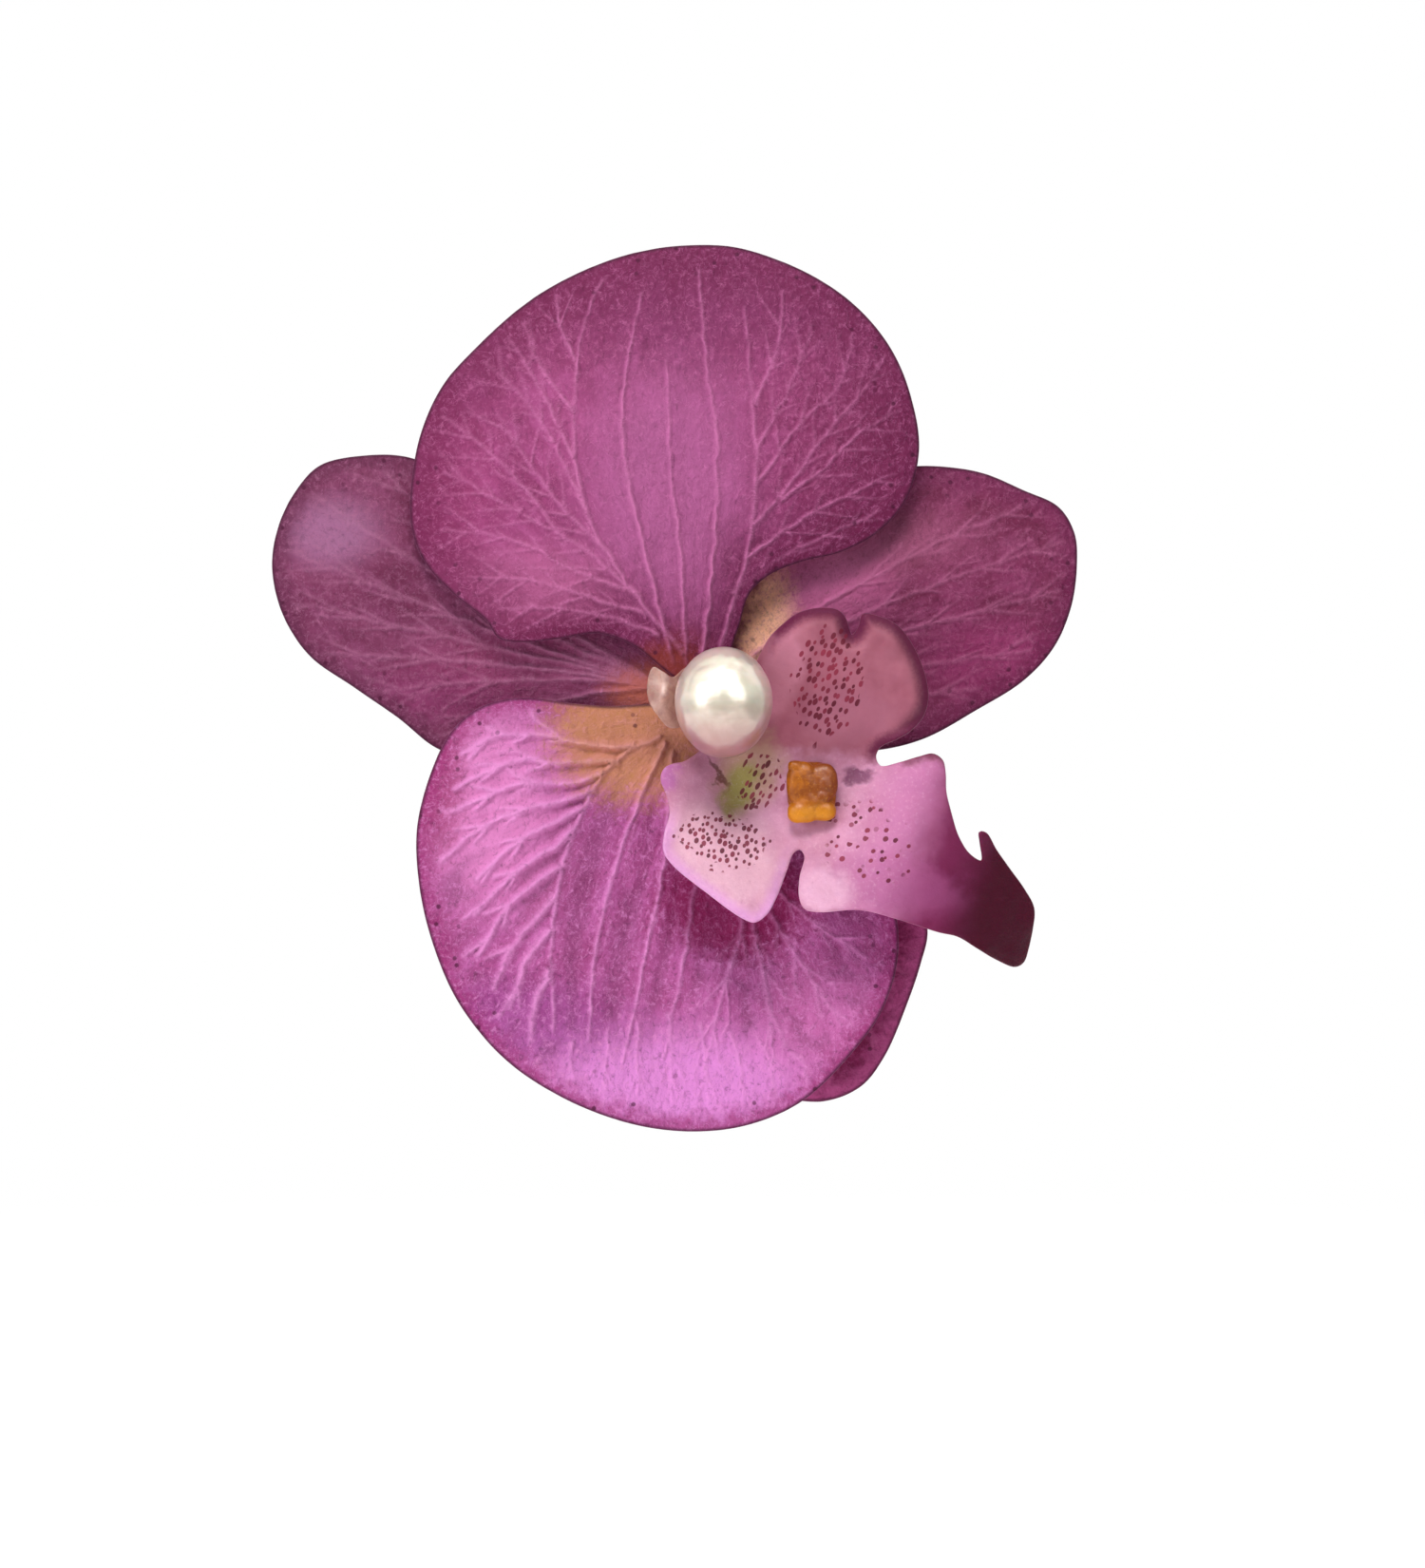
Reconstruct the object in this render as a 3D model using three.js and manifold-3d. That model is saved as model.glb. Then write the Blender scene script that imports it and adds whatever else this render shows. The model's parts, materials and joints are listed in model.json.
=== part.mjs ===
// Flower hair clip: an artificial moth orchid with a pearl at its centre, glued to a sprung metal clip.
// Millimetres, +Z up. The bloom faces -Y, and "forward" below means the distance towards -Y, measured
// from the plane where the clip's two jaws meet. The origin lies between the jaws, behind the bloom's
// centre. Outlines are seen from the front, as [x, z]. Landmarks give a sheet's depth, as [x, z, forward].
import * as THREE from "three";
import { mergeVertices } from "three/addons/utils/BufferGeometryUtils.js";
import Module from "manifold-3d";

const wasm = await Module();
wasm.setup();

// ---------------------------------------------------------------- driving dimensions
const PETAL_THICK = 0.7; // pressed fabric, all five petals and sepals
const LIP_THICK = 0.7; // moulded lip
const GAP = 0.12; // between glued layers
const OUTLINE_STEPS = 5; // points on an outline between two given ones
const PETAL_CELLS = 12; // mesh cells across a petal
const LIP_CELL = 2.1; // mesh cell on the lip

const FELT_R = 15.5,
  FELT_BACK = 4.4,
  FELT_FRONT = 5.7; // round backing pad
const COLLAR_R = 5.2,
  COLLAR_BACK = 6.3,
  COLLAR_FRONT = 7.05; // washer behind the sepals
const POST_R = 1.35,
  POST_FRONT = 9.2; // stem post through collar, sepals and petals

const PEARL = { x: 2.55, z: -0.1, forward: 17.6, rx: 4.9, ry: 5.0, rz: 5.65, lean: 4 };
const COLUMN = { x: 0.6, z: -0.1, back: 9.4, front: 12.0, r: 2.3 };

const PIVOT_Z = 13; // hinge axis above the origin, along X
const PLATE = 0.8; // jaw sheet metal
const JAW_MID = 2.6; // middle of each jaw's sheet from the clip's mid plane
const LUG = 0.4,
  LUG_R = 1.8,
  FRONT_LUG_X = 4.1,
  REAR_LUG_X = 3.3; // inner face of each pair of ears
const PIN_R = 0.7,
  PIN_HOLE_R = 0.78,
  PIN_HEAD_R = 1.3,
  PIN_HEAD_X = 4.62,
  PIN_END_X = 5.1;
const SPRING = { wire: 0.3, coil: 1.4, turns: 5.5, half: 2.6, arm: 7.5 };

// ---------------------------------------------------------------- outlines and landmarks
// Upper petal: a broad round blade on a narrow claw.
const TOP_PETAL = {
  centre: [-3.5, 25],
  outline: [
    [4.1, 7.8], [5.1, 11], [7, 12.9], [10.2, 14.3], [14.6, 15.4], [18.1, 17.3], [21, 20.5],
    [22.4, 25.6], [21.7, 30.6], [19.7, 35.7], [16.5, 39.8], [12.7, 42.7], [8.3, 44.9], [3.8, 46.3],
    [-1, 46.5], [-6, 45.8], [-11.4, 44], [-17.1, 40.8], [-22.2, 36.3], [-26, 32], [-28.2, 27],
    [-29.2, 20.5], [-28.9, 17], [-27.6, 14.1], [-24.7, 11], [-21.5, 8.4], [-20.2, 6.6],
    [-17.7, 6.2], [-13.9, 6.6], [-10.1, 7.1], [-6.4, 5.8], [-3.6, 3.6], [-1.4, 2.1], [0.6, 2.1], [2.4, 3.6],
  ],
  landmarks: [
    [0, 3, 9.0], [-7, 7.4, 10.0], [3.6, 8.5, 9.8], [-20, 7, 10.4], [-29, 19, 10.2], [-26, 31.5, 10.2],
    [-17, 40.5, 9.8], [-1, 46.4, 9.2], [12.5, 42.5, 9.6], [21, 32, 10.0], [22, 24, 10.0],
    [18, 17.5, 10.4], [8, 13.8, 10.6], [-2, 12, 11.6], [-14, 15, 12.4], [-20, 24, 12.6],
    [-3, 25, 13.2], [13, 25, 12.7], [-10, 35, 12.5], [8, 35, 12.3],
  ],
};
// Lower petal: a bowl whose lower margin curls forward.
const BOTTOM_PETAL = {
  centre: [-4, -22],
  outline: [
    [-2.3, -0.4], [-4.3, -0.1], [-9, -0.3], [-13, 0], [-17, 0.5], [-19.9, 0.3], [-22.6, -0.7], [-25, -2.9],
    [-26.9, -6.7], [-28.4, -12.5], [-28.2, -18.3], [-26.9, -24], [-24.3, -30], [-19.7, -35.6],
    [-13.9, -39.5], [-7.2, -42.1], [-1.4, -43], [4.3, -42.5], [10.1, -40.2], [14.9, -35.8],
    [18.6, -30.8], [20.2, -25], [19.4, -19.6], [15.6, -14.6], [10.4, -11], [5.6, -7.6], [2.2, -4.4],
    [-0.4, -2.6],
  ],
  landmarks: [
    [-2.2, -1.6, 9.0], [-12, -0.2, 9.5], [-20, 0, 9.9], [-26.5, -6, 10.6], [-28.2, -15, 10.8],
    [-26.5, -24.5, 10.8], [-20, -35.2, 12.4], [-7, -42, 13.4], [4, -42.4, 13.5], [14.8, -35.6, 12.8],
    [20, -25, 11.2], [16.5, -16, 9.8], [6, -8, 9.2], [-14, -9, 11.4], [-19, -16, 11.8],
    [-6, -14, 10.2], [5, -17, 9.7], [-12, -27, 10.9], [0, -28, 10.1], [10, -27, 10.3], [-1, -37, 11.1],
  ],
};
const SEPAL_LEFT = {
  centre: [-25, 11],
  outline: [
    [-2.1, 2.4], [-3.8, 6.6], [-9, 12.4], [-17, 18.6], [-25, 23], [-29.6, 25.2], [-34.2, 25.4], [-38.7, 24.4],
    [-41.3, 21.6], [-43, 18], [-43.6, 14], [-42.6, 9.4], [-39.8, 5], [-35.3, 1.8], [-30.8, -1.3],
    [-26.5, -4.6], [-22, -5.4], [-16, -3.8], [-10, -1.6], [-5, -0.5], [-2.3, -0.2],
  ],
  landmarks: [
    [-2.5, 0.7, 7.6], [-12, 4.5, 7.7], [-24, 10, 8.1], [-34, 14, 8.6], [-43, 15.5, 6.7], [-35, 24.8, 6.5],
    [-22, 20.5, 6.9], [-12, 11.2, 7.2], [-39, 4.8, 6.3], [-29, -2.4, 6.3], [-20, -4.8, 6.7],
    [-10, -1.4, 7.2],
  ],
};
const SEPAL_RIGHT = {
  centre: [22, 10],
  outline: [
    [2.3, -0.2], [6, -2.8], [12, -4.8], [18.3, -4.7], [23.1, -3.5], [28.4, -0.6], [33.2, 2.4], [36.3, 5.8],
    [38, 9.8], [38.6, 14], [38.4, 17.4], [36.8, 20.1], [33.2, 21.8], [29.3, 23.5], [25.5, 24.2],
    [21.5, 24.2], [15, 22.4], [9.4, 18.6], [5.2, 13], [2.9, 6.6], [2, 2],
  ],
  landmarks: [
    [2.3, 0.8, 7.6], [9, 4.5, 7.8], [19, 9, 8.2], [29, 13, 8.5], [38.4, 15, 7.2], [33.5, 21.6, 6.6],
    [24, 23.8, 6.5], [13, 18.6, 6.9], [5, 8, 7.3], [12, -4.6, 7.0], [22, -3.7, 6.7], [33, 2.4, 6.6],
  ],
};
const SEPAL_LOWER = {
  centre: [11.5, -24],
  outline: [
    [-0.2, -2.3], [-1.2, -7], [-1.8, -14], [-1.4, -21], [0.2, -28], [2.8, -34], [5.8, -38.6], [9.1, -40.2],
    [13, -40.5], [16.6, -39], [18.9, -36.1], [21.2, -30.8], [22.7, -26.3], [23.4, -22.8],
    [21.6, -17.6], [17, -12.6], [11, -8.2], [5.6, -4.6], [1.8, -2.2],
  ],
  landmarks: [
    [0.9, -2.5, 7.6], [4.5, -10, 7.8], [10, -22, 8.0], [14, -33, 7.7], [12, -40.4, 6.8], [21, -31, 7.0],
    [23.2, -22.5, 7.1], [15, -11, 7.1], [-1.5, -17, 7.0], [1.5, -31, 6.8],
  ],
};
// Lip: one moulded sheet with an upper side lobe, a lower side lobe, and a middle lobe that runs out to
// a hooked tendril and curls back towards the sepals.
const LIP = {
  upper_lobe: [
    [4.9, 1.5], [5.5, 3.2], [6.3, 4.9], [7.2, 6.5], [8.5, 7.8], [10, 8.9], [12, 9.4], [14, 9.2],
    [14.7, 8.5], [15.4, 6.7], [16.1, 7.6], [16.5, 8.8], [18, 8.6], [20, 7.6], [21.5, 5.6], [22.6, 3],
    [23, 0.6], [22.6, -1.2], [21.5, -2.6], [20, -3.6], [18.3, -4.4],
  ],
  middle_lobe: [
    [17.8, -5.4], [18.3, -6.4], [20, -6.1], [22, -5.5], [23.4, -5.2], [24.3, -5.8], [24.6, -7], [24.7, -9],
    [25.2, -11], [26, -13.4], [27.2, -15.2], [28.5, -15.9], [28.3, -14], [28.2, -13], [28.9, -13.1],
    [30, -14.8], [31.5, -16.8], [33, -18.8], [34.1, -20.8], [34, -22.8], [33.6, -25], [33.1, -26.3],
    [32.2, -26.7], [30, -25.8], [28, -24.6], [26, -23.4], [24, -22.9], [20, -21.6], [16, -20.6],
    [12, -20.8], [10.6, -20.5], [10.1, -19.4], [10.2, -17.4], [10.7, -15.4],
  ],
  lower_lobe: [
    [10.2, -14.7], [9.5, -15.1], [8.8, -16.8], [8, -18.8], [6.8, -21], [5.6, -21.8], [4.4, -21.4],
    [1, -19], [-2.6, -16.1], [-3.4, -14.8], [-3.3, -13], [-2.8, -11.2], [-3, -9.6], [-3.7, -7.6],
    [-3.3, -6.6], [-2.5, -6.2], [-1.5, -6], [-0.2, -5.2],
  ],
  base: [[0.8, -4.3], [2.6, -3.5], [4.1, -2.3], [4.8, -0.6]],
  landmarks: [
    [2.4, -3.7, 10.9], [5, 0, 11.7], [6.6, 4.6, 13.8], [9.5, -2, 13.2], // seat under the pearl
    [9.5, 6.5, 15.6], [12.5, 9.2, 15.6], [18, 8.4, 15.8], [22.6, 2, 15.8], [21, -3, 14.9], // upper lobe
    [15, 3, 15.7], [13, -3, 13.9], [16, -7.2, 12.4], [18, -5.4, 13.4], // fold between the lobes
    [4, -9.5, 10.9], [3.2, -6.6, 11.0], [6.5, -8, 11.6], [-0.2, -7.2, 13.2], // throat
    [11, -9.2, 12.6], [9.3, -13.6, 13.2], // seat of the callus, neck
    [-3.4, -7.4, 14.6], [-3, -13.5, 15.2], [2, -14, 14.6], [-1, -17.4, 17.2], [5.6, -21.6, 19.4],
    [7.8, -17.5, 16.6], // lower lobe
    [12.5, -14, 13.8], [10.6, -19.6, 17.8], [16, -20.4, 17.9], [22, -22.2, 16.4], [19, -12, 15.3],
    [24.2, -6.2, 16.6], [25.4, -12, 15.6], [28.5, -15.2, 13.0], [28.5, -24.7, 12.6],
    [33.9, -21.5, 8.4], [32.6, -26.3, 8.6], // middle lobe
  ],
};
// Cap of the column: a thin folded flap that shows beside the pearl.
const CAP = {
  centre: [-2.9, 0.6],
  outline: [
    [-4.5, 3.5], [-5.1, 1.5], [-4.8, -0.1], [-4, -1.3], [-2.8, -2.5], [-1.4, -2.2], [-0.9, -0.6],
    [-0.9, 1.6], [-0.7, 3.7], [-1.5, 3.3], [-2.5, 2.5], [-3.4, 3],
  ],
  landmarks: [
    [-4.5, 3.4, 14.2], [-5, 1, 13.8], [-3.6, 0.6, 14.9], [-2.8, -2.4, 14.0], [-1.2, -1.8, 12.7],
    [-1, 0.6, 12.6], [-0.8, 3.5, 12.9],
  ],
};
// Orange callus of the lip: rounded lumps grown together, as [x, z, forward, rx, ry, rz].
const CALLUS_LUMPS = [
  [9.9, -7.6, 13.7, 1.5, 1.5, 1.6], [11.3, -8.6, 13.9, 1.5, 1.6, 2.0], [12.7, -7.5, 14.3, 1.15, 1.1, 1.15],
  [9.6, -9.9, 13.6, 1.3, 1.3, 1.3], [12.3, -10.2, 13.8, 1.3, 1.3, 1.3], [10.9, -11.4, 13.7, 2.4, 1.3, 0.95],
];

// Jaws, as [z, forward] along the middle of the sheet from tip to tail. The rear jaw is a mirror image.
const FRONT_LINE = [
  [-25, 0.55], [-22, 1.2], [-19, 1.95], [-16.8, 2.45], [-15, JAW_MID], [16.4, JAW_MID], [18, 2.85],
  [20.5, 3.55], [29, 5.9],
];
const REAR_LINE = [
  [-25, 0.55], [-22, 1.2], [-19, 1.95], [-16.8, 2.45], [-15, JAW_MID], [16.4, JAW_MID], [18, 2.9],
  [20.5, 3.8], [29, 6.9],
];
const FRONT_TEETH = [-23.6, -21.8, -20];
const REAR_TEETH = [-22.7, -20.9, -19.1];
const TOOTH = { wide: 1.0, high: 0.42 };
// Half width of the sheet along the clip, as [z, half width]; the rear jaw steps in between the ears.
const FRONT_PLAN = [[-25, 1.6], [-24.2, 2.5], [-20, 3.1], [-8, 4.1], [4, 4.5], [26.5, 4.5], [28.4, 3.9], [29, 2.6]];
const REAR_PLAN = [
  [-25, 1.6], [-24.2, 2.5], [-20, 3.1], [-8, 4.0], [4, 4.3], [8.8, 4.3], [9.8, 3.7], [16.2, 3.7], [17.2, 4.3],
  [26.5, 4.3], [28.4, 3.7], [29, 2.6],
];

// ---------------------------------------------------------------- solid helpers
// Closes a geometry for manifold-3d and turns it so that its faces point out.
function solid(geometry) {
  const g = geometry.clone();
  g.deleteAttribute("normal");
  g.deleteAttribute("uv");
  const merged = mergeVertices(g.index ? g.toNonIndexed() : g, 1e-4);
  const tri = new Uint32Array(merged.index.array);
  const pos = merged.attributes.position.array;
  const make = () => new wasm.Manifold(new wasm.Mesh({ numProp: 3, vertProperties: pos, triVerts: tri }));
  let made = make();
  if (made.volume() < 0) {
    for (let i = 0; i < tri.length; i += 3) [tri[i + 1], tri[i + 2]] = [tri[i + 2], tri[i + 1]];
    made = make();
  }
  return made;
}

function toGeometry(made) {
  const m = made.getMesh();
  const pos = new Float32Array(m.numVert * 3);
  for (let i = 0; i < m.numVert; i++) pos.set(m.vertProperties.subarray(i * m.numProp, i * m.numProp + 3), i * 3);
  return new THREE.BufferGeometry()
    .setAttribute("position", new THREE.BufferAttribute(pos, 3))
    .setIndex(new THREE.BufferAttribute(new Uint32Array(m.triVerts), 1));
}

const group = new THREE.Group();
group.name = "flower_hair_clip";
function add(name, made, look) {
  const g = made.isBufferGeometry ? toGeometry(solid(made)) : toGeometry(made);
  g.computeVertexNormals();
  const mesh = new THREE.Mesh(g, new THREE.MeshStandardMaterial({ roughness: 0.6, metalness: 0, ...look }));
  mesh.name = name;
  group.add(mesh);
}

// Rotations that lay three.js's own axes along the part's.
const FACE_FORWARD = new THREE.Matrix4().set(1, 0, 0, 0, 0, 0, -1, 0, 0, 1, 0, 0, 0, 0, 0, 1); // x,y -> x,z
const SPIN_FORWARD = new THREE.Matrix4().makeRotationX(Math.PI); // lathe axis -> forward
const ACROSS = new THREE.Matrix4().set(0, 0, 1, 0, 0, -1, 0, 0, 1, 0, 0, 0, 0, 0, 0, 1); // x,y -> z,forward
const SPIN_ACROSS = new THREE.Matrix4().makeRotationZ(-Math.PI / 2); // lathe axis -> +X

const shapeOf = (points) => new THREE.Shape(points.map(([a, b]) => new THREE.Vector2(a, b)));

// A shape of [x, z] points filled between two forward distances.
function prismForward(points, from, to) {
  const g = new THREE.ExtrudeGeometry(shapeOf(points), { depth: to - from, bevelEnabled: false });
  return g.translate(0, 0, from).applyMatrix4(FACE_FORWARD);
}
// A shape of [z, forward] points filled between two x.
function prismAcross(shape, from, to) {
  const g = new THREE.ExtrudeGeometry(shape, { depth: to - from, bevelEnabled: false, curveSegments: 14 });
  return g.translate(0, 0, from).applyMatrix4(ACROSS);
}
// A [radius, forward] profile turned about the forward direction at x, z.
function turned(profile, x, z, sides = 28) {
  const g = new THREE.LatheGeometry(profile.map(([r, f]) => new THREE.Vector2(r, f)), sides);
  return g.applyMatrix4(SPIN_FORWARD).translate(x, 0, z);
}
function ellipsoid(x, z, forward, rx, ry, rz, lean = 0, sides = 9, rings = 6) {
  return new THREE.SphereGeometry(1, sides, rings)
    .scale(rx, ry, rz)
    .rotateY(THREE.MathUtils.degToRad(lean))
    .translate(x, -forward, z);
}

// ---------------------------------------------------------------- curved sheets
// A smooth closed curve through the outline's points.
function smoothOutline(points, steps = OUTLINE_STEPS) {
  const curve = new THREE.CatmullRomCurve3(points.map(([x, z]) => new THREE.Vector3(x, 0, z)), true, "centripetal");
  return Array.from({ length: points.length * steps }, (_, i) => {
    const p = curve.getPoint(i / (points.length * steps));
    return [p.x, p.z];
  });
}

// A thin-plate surface through the landmarks: gives the sheet's forward distance at x, z.
function surfaceThrough(landmarks) {
  const n = landmarks.length;
  const bend = (dx, dz) => {
    const q = dx * dx + dz * dz;
    return q < 1e-9 ? 0 : 0.5 * q * Math.log(q);
  };
  const rows = landmarks.map(([x, z, f]) => [
    ...landmarks.map(([u, w]) => bend(x - u, z - w)), 1, x, z, f,
  ]);
  const ones = [() => 1, ([x]) => x, ([, z]) => z];
  for (const of of ones) rows.push([...landmarks.map(of), 0, 0, 0, 0]);
  for (let c = 0; c < n + 3; c++) {
    let best = c;
    for (let r = c + 1; r < n + 3; r++) if (Math.abs(rows[r][c]) > Math.abs(rows[best][c])) best = r;
    [rows[c], rows[best]] = [rows[best], rows[c]];
    for (let r = 0; r < n + 3; r++) {
      if (r === c) continue;
      const k = rows[r][c] / rows[c][c];
      if (k) for (let j = c; j <= n + 3; j++) rows[r][j] -= k * rows[c][j];
    }
  }
  const w = rows.map((row, i) => row[n + 3] / row[i]);
  return (x, z) =>
    landmarks.reduce((sum, [u, v], i) => sum + w[i] * bend(x - u, z - v), w[n] + w[n + 1] * x + w[n + 2] * z);
}

// Distance from the centre to the outline in direction angle, for an outline the centre sees all of.
function reach(outline, [cx, cz], angle) {
  const dx = Math.cos(angle),
    dz = Math.sin(angle);
  let far = 0;
  outline.forEach(([ax, az], i) => {
    const [bx, bz] = outline[(i + 1) % outline.length];
    const ex = bx - ax,
      ez = bz - az,
      det = dz * ex - dx * ez;
    if (Math.abs(det) < 1e-12) return;
    const t = ((az - cz) * ex - (ax - cx) * ez) / det;
    const s = (dx * (az - cz) - dz * (ax - cx)) / det;
    if (t > 0 && s >= 0 && s <= 1) far = Math.max(far, t);
  });
  return far;
}

// A closed shell from a square grid of [x, z] points: front and back skins, joined round the edge.
function shell(rows, surface, back, front) {
  const n = rows.length,
    m = rows[0].length;
  const pos = [];
  for (const off of [front, back])
    for (const row of rows) for (const [x, z] of row) pos.push(x, -(surface(x, z) + off), z);
  const at = (side, i, j) => side * n * m + i * m + j;
  const tri = [];
  for (let i = 0; i < n - 1; i++)
    for (let j = 0; j < m - 1; j++) {
      tri.push(at(0, i, j), at(0, i + 1, j), at(0, i + 1, j + 1), at(0, i, j), at(0, i + 1, j + 1), at(0, i, j + 1));
      tri.push(at(1, i, j), at(1, i + 1, j + 1), at(1, i + 1, j), at(1, i, j), at(1, i, j + 1), at(1, i + 1, j + 1));
    }
  const edge = [];
  for (let i = 0; i < n - 1; i++) edge.push([i, 0]);
  for (let j = 0; j < m - 1; j++) edge.push([n - 1, j]);
  for (let i = n - 1; i > 0; i--) edge.push([i, m - 1]);
  for (let j = m - 1; j > 0; j--) edge.push([0, j]);
  edge.forEach(([i, j], k) => {
    const [u, v] = edge[(k + 1) % edge.length];
    tri.push(at(0, i, j), at(1, i, j), at(1, u, v), at(0, i, j), at(1, u, v), at(0, u, v));
  });
  return new THREE.BufferGeometry()
    .setAttribute("position", new THREE.Float32BufferAttribute(pos, 3))
    .setIndex(tri);
}

// A petal: its disc-like grid is stretched from the centre to the outline.
function petal({ centre, outline, landmarks }, thick, cells = PETAL_CELLS) {
  const rim = smoothOutline(outline);
  const rows = [];
  for (let i = 0; i <= cells; i++) {
    rows.push([]);
    for (let j = 0; j <= cells; j++) {
      const a = (2 * i) / cells - 1,
        b = (2 * j) / cells - 1;
      const wide = a * a > b * b;
      const r = wide ? a : b;
      const angle = r === 0 ? 0 : wide ? (Math.PI / 4) * (b / a) : Math.PI / 2 - (Math.PI / 4) * (a / b);
      const turn = r < 0 ? angle + Math.PI : angle;
      const d = Math.abs(r) * reach(rim, centre, turn);
      rows[i].push([centre[0] + d * Math.cos(turn), centre[1] + d * Math.sin(turn)]);
    }
  }
  return shell(rows, surfaceThrough(landmarks), -thick / 2, thick / 2);
}

// A rectangular slab that follows a surface, from back to front of it.
function slab(surface, [x0, z0, x1, z1], cell, back, front) {
  const nx = Math.ceil((x1 - x0) / cell),
    nz = Math.ceil((z1 - z0) / cell);
  const rows = Array.from({ length: nx + 1 }, (_, i) =>
    Array.from({ length: nz + 1 }, (_, j) => [x0 + ((x1 - x0) * i) / nx, z0 + ((z1 - z0) * j) / nz]),
  );
  return shell(rows, surface, back, front);
}

// ---------------------------------------------------------------- the bloom
const MAGENTA = { color: "#a44a86" },
  DEEP = { color: "#8d3d6e" };
add("petal_top", petal(TOP_PETAL, PETAL_THICK), MAGENTA);
add("petal_bottom", petal(BOTTOM_PETAL, PETAL_THICK), { color: "#b765ac" });
add("sepal_left", petal(SEPAL_LEFT, PETAL_THICK), DEEP);
add("sepal_right", petal(SEPAL_RIGHT, PETAL_THICK), DEEP);
add("sepal_lower", petal(SEPAL_LOWER, PETAL_THICK), DEEP);

const lipSurface = surfaceThrough(LIP.landmarks);
const lipOutline = smoothOutline([...LIP.upper_lobe, ...LIP.middle_lobe, ...LIP.lower_lobe, ...LIP.base], 3);
const lipSlab = solid(slab(lipSurface, [-5, -28, 35.5, 11], LIP_CELL, -LIP_THICK / 2, LIP_THICK / 2));
add("lip", lipSlab.intersect(solid(prismForward(lipOutline, 4, 24))), { color: "#c98bb0" });

const underCallus = solid(slab(lipSurface, [5, -16, 17, -3], 1, -6, LIP_THICK / 2 + GAP));
const callus = CALLUS_LUMPS.map((lump) => solid(ellipsoid(...lump))).reduce((a, b) => a.add(b));
add("callus", callus.subtract(underCallus), { color: "#c98018", roughness: 0.3 });

// ---------------------------------------------------------------- pearl and column
const pearlBody = (grow) =>
  ellipsoid(PEARL.x, PEARL.z, PEARL.forward, PEARL.rx + grow, PEARL.ry + grow, PEARL.rz + grow, PEARL.lean, 26, 16);
add("pearl", pearlBody(0), { color: "#efe8e0", roughness: 0.15 });

const glueUp = [[0, COLUMN.front + GAP], [2.0, COLUMN.front + GAP], [2.5, 12.8], [2.5, 13.6], [0, 13.6]];
add("pearl_glue", solid(turned(glueUp, 1.7, -0.1)).subtract(solid(pearlBody(GAP))), { color: "#ded8c8", roughness: 0.2 });

const waist = COLUMN.r * 0.8;
add(
  "column",
  turned(
    [[0, COLUMN.back], [COLUMN.r, COLUMN.back], [COLUMN.r, 9.9], [waist, 10.6], [waist, 11.2], [2.1, COLUMN.front],
      [0, COLUMN.front]],
    COLUMN.x, COLUMN.z,
  ),
  { color: "#e2c2c8" },
);
add("anther_cap", petal(CAP, 0.5, 8), { color: "#ecd3d6", roughness: 0.4 });

// ---------------------------------------------------------------- layers behind the bloom
add(
  "receptacle",
  turned([[0, 5.95], [2.6, 5.95], [2.6, 6.2], [POST_R, 6.2], [POST_R, POST_FRONT - 0.3], [POST_R - 0.3, POST_FRONT],
    [0, POST_FRONT]], 0, 0, 20),
  { color: "#6f8a4a" },
);
const collar = turned([[0, COLLAR_BACK], [COLLAR_R - 0.4, COLLAR_BACK], [COLLAR_R, 6.6], [COLLAR_R - 0.3, COLLAR_FRONT],
  [0, COLLAR_FRONT]], 0, 0, 32);
const collarHole = turned([[0, 5], [POST_R + GAP, 5], [POST_R + GAP, 8], [0, 8]], 0, 0, 20);
add("calyx_collar", solid(collar).subtract(solid(collarHole)), { color: "#7c9a55" });

const ringGlue = turned([[0, FELT_FRONT + 0.05], [8, FELT_FRONT + 0.05], [8.6, 5.95], [8.2, 6.16], [0, 6.16]], 0, 0, 30);
const glueHole = turned([[0, 5], [2.9, 5], [2.9, 7], [0, 7]], 0, 0, 20);
add("flower_glue", solid(ringGlue).subtract(solid(glueHole)), { color: "#d9d2bf", roughness: 0.25 });

add(
  "felt_pad",
  turned([[0, FELT_BACK], [FELT_R - 0.4, FELT_BACK], [FELT_R, FELT_BACK + 0.4], [FELT_R, FELT_FRONT - 0.3],
    [FELT_R - 0.3, FELT_FRONT], [0, FELT_FRONT]], 0, 0, 48),
  { color: "#3b2a33", roughness: 0.95 },
);
// The bead of glue between pad and clip is a rounded strip along the jaw.
const strip = smoothOutline([[3.2, 10.5], [3.7, 5], [3.4, -2], [3.5, -8], [2.2, -12.4], [0, -13.2], [-2.2, -12.4],
  [-3.6, -8], [-3.3, -1], [-3.6, 5], [-3, 10.5], [0, 11.6]], 3);
add("clip_glue", prismForward(strip, JAW_MID + PLATE / 2 + 0.08, FELT_BACK - 0.08), { color: "#d9d2bf", roughness: 0.25 });

// ---------------------------------------------------------------- the clip
// Side profile of a jaw: the sheet's outer and inner faces, with pressed teeth on the inner one.
function jawProfile(line, teeth) {
  const at = (z) => {
    const i = Math.max(1, line.findIndex(([end]) => end >= z));
    const [z0, f0] = line[i - 1],
      [z1, f1] = line[i];
    return f0 + ((f1 - f0) * (z - z0)) / (z1 - z0);
  };
  const outer = line.map(([z, f]) => [z, f + PLATE / 2]);
  const inner = line.map(([z, f]) => [z, f - PLATE / 2]);
  for (const z of teeth) {
    for (const [dz, up] of [[-TOOTH.wide / 2, 0], [-0.12, TOOTH.high], [0.12, TOOTH.high], [TOOTH.wide / 2, 0]])
      inner.push([z + dz, at(z + dz) - PLATE / 2 - up]);
  }
  inner.sort((a, b) => b[0] - a[0]);
  return [...outer, ...inner];
}
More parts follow.
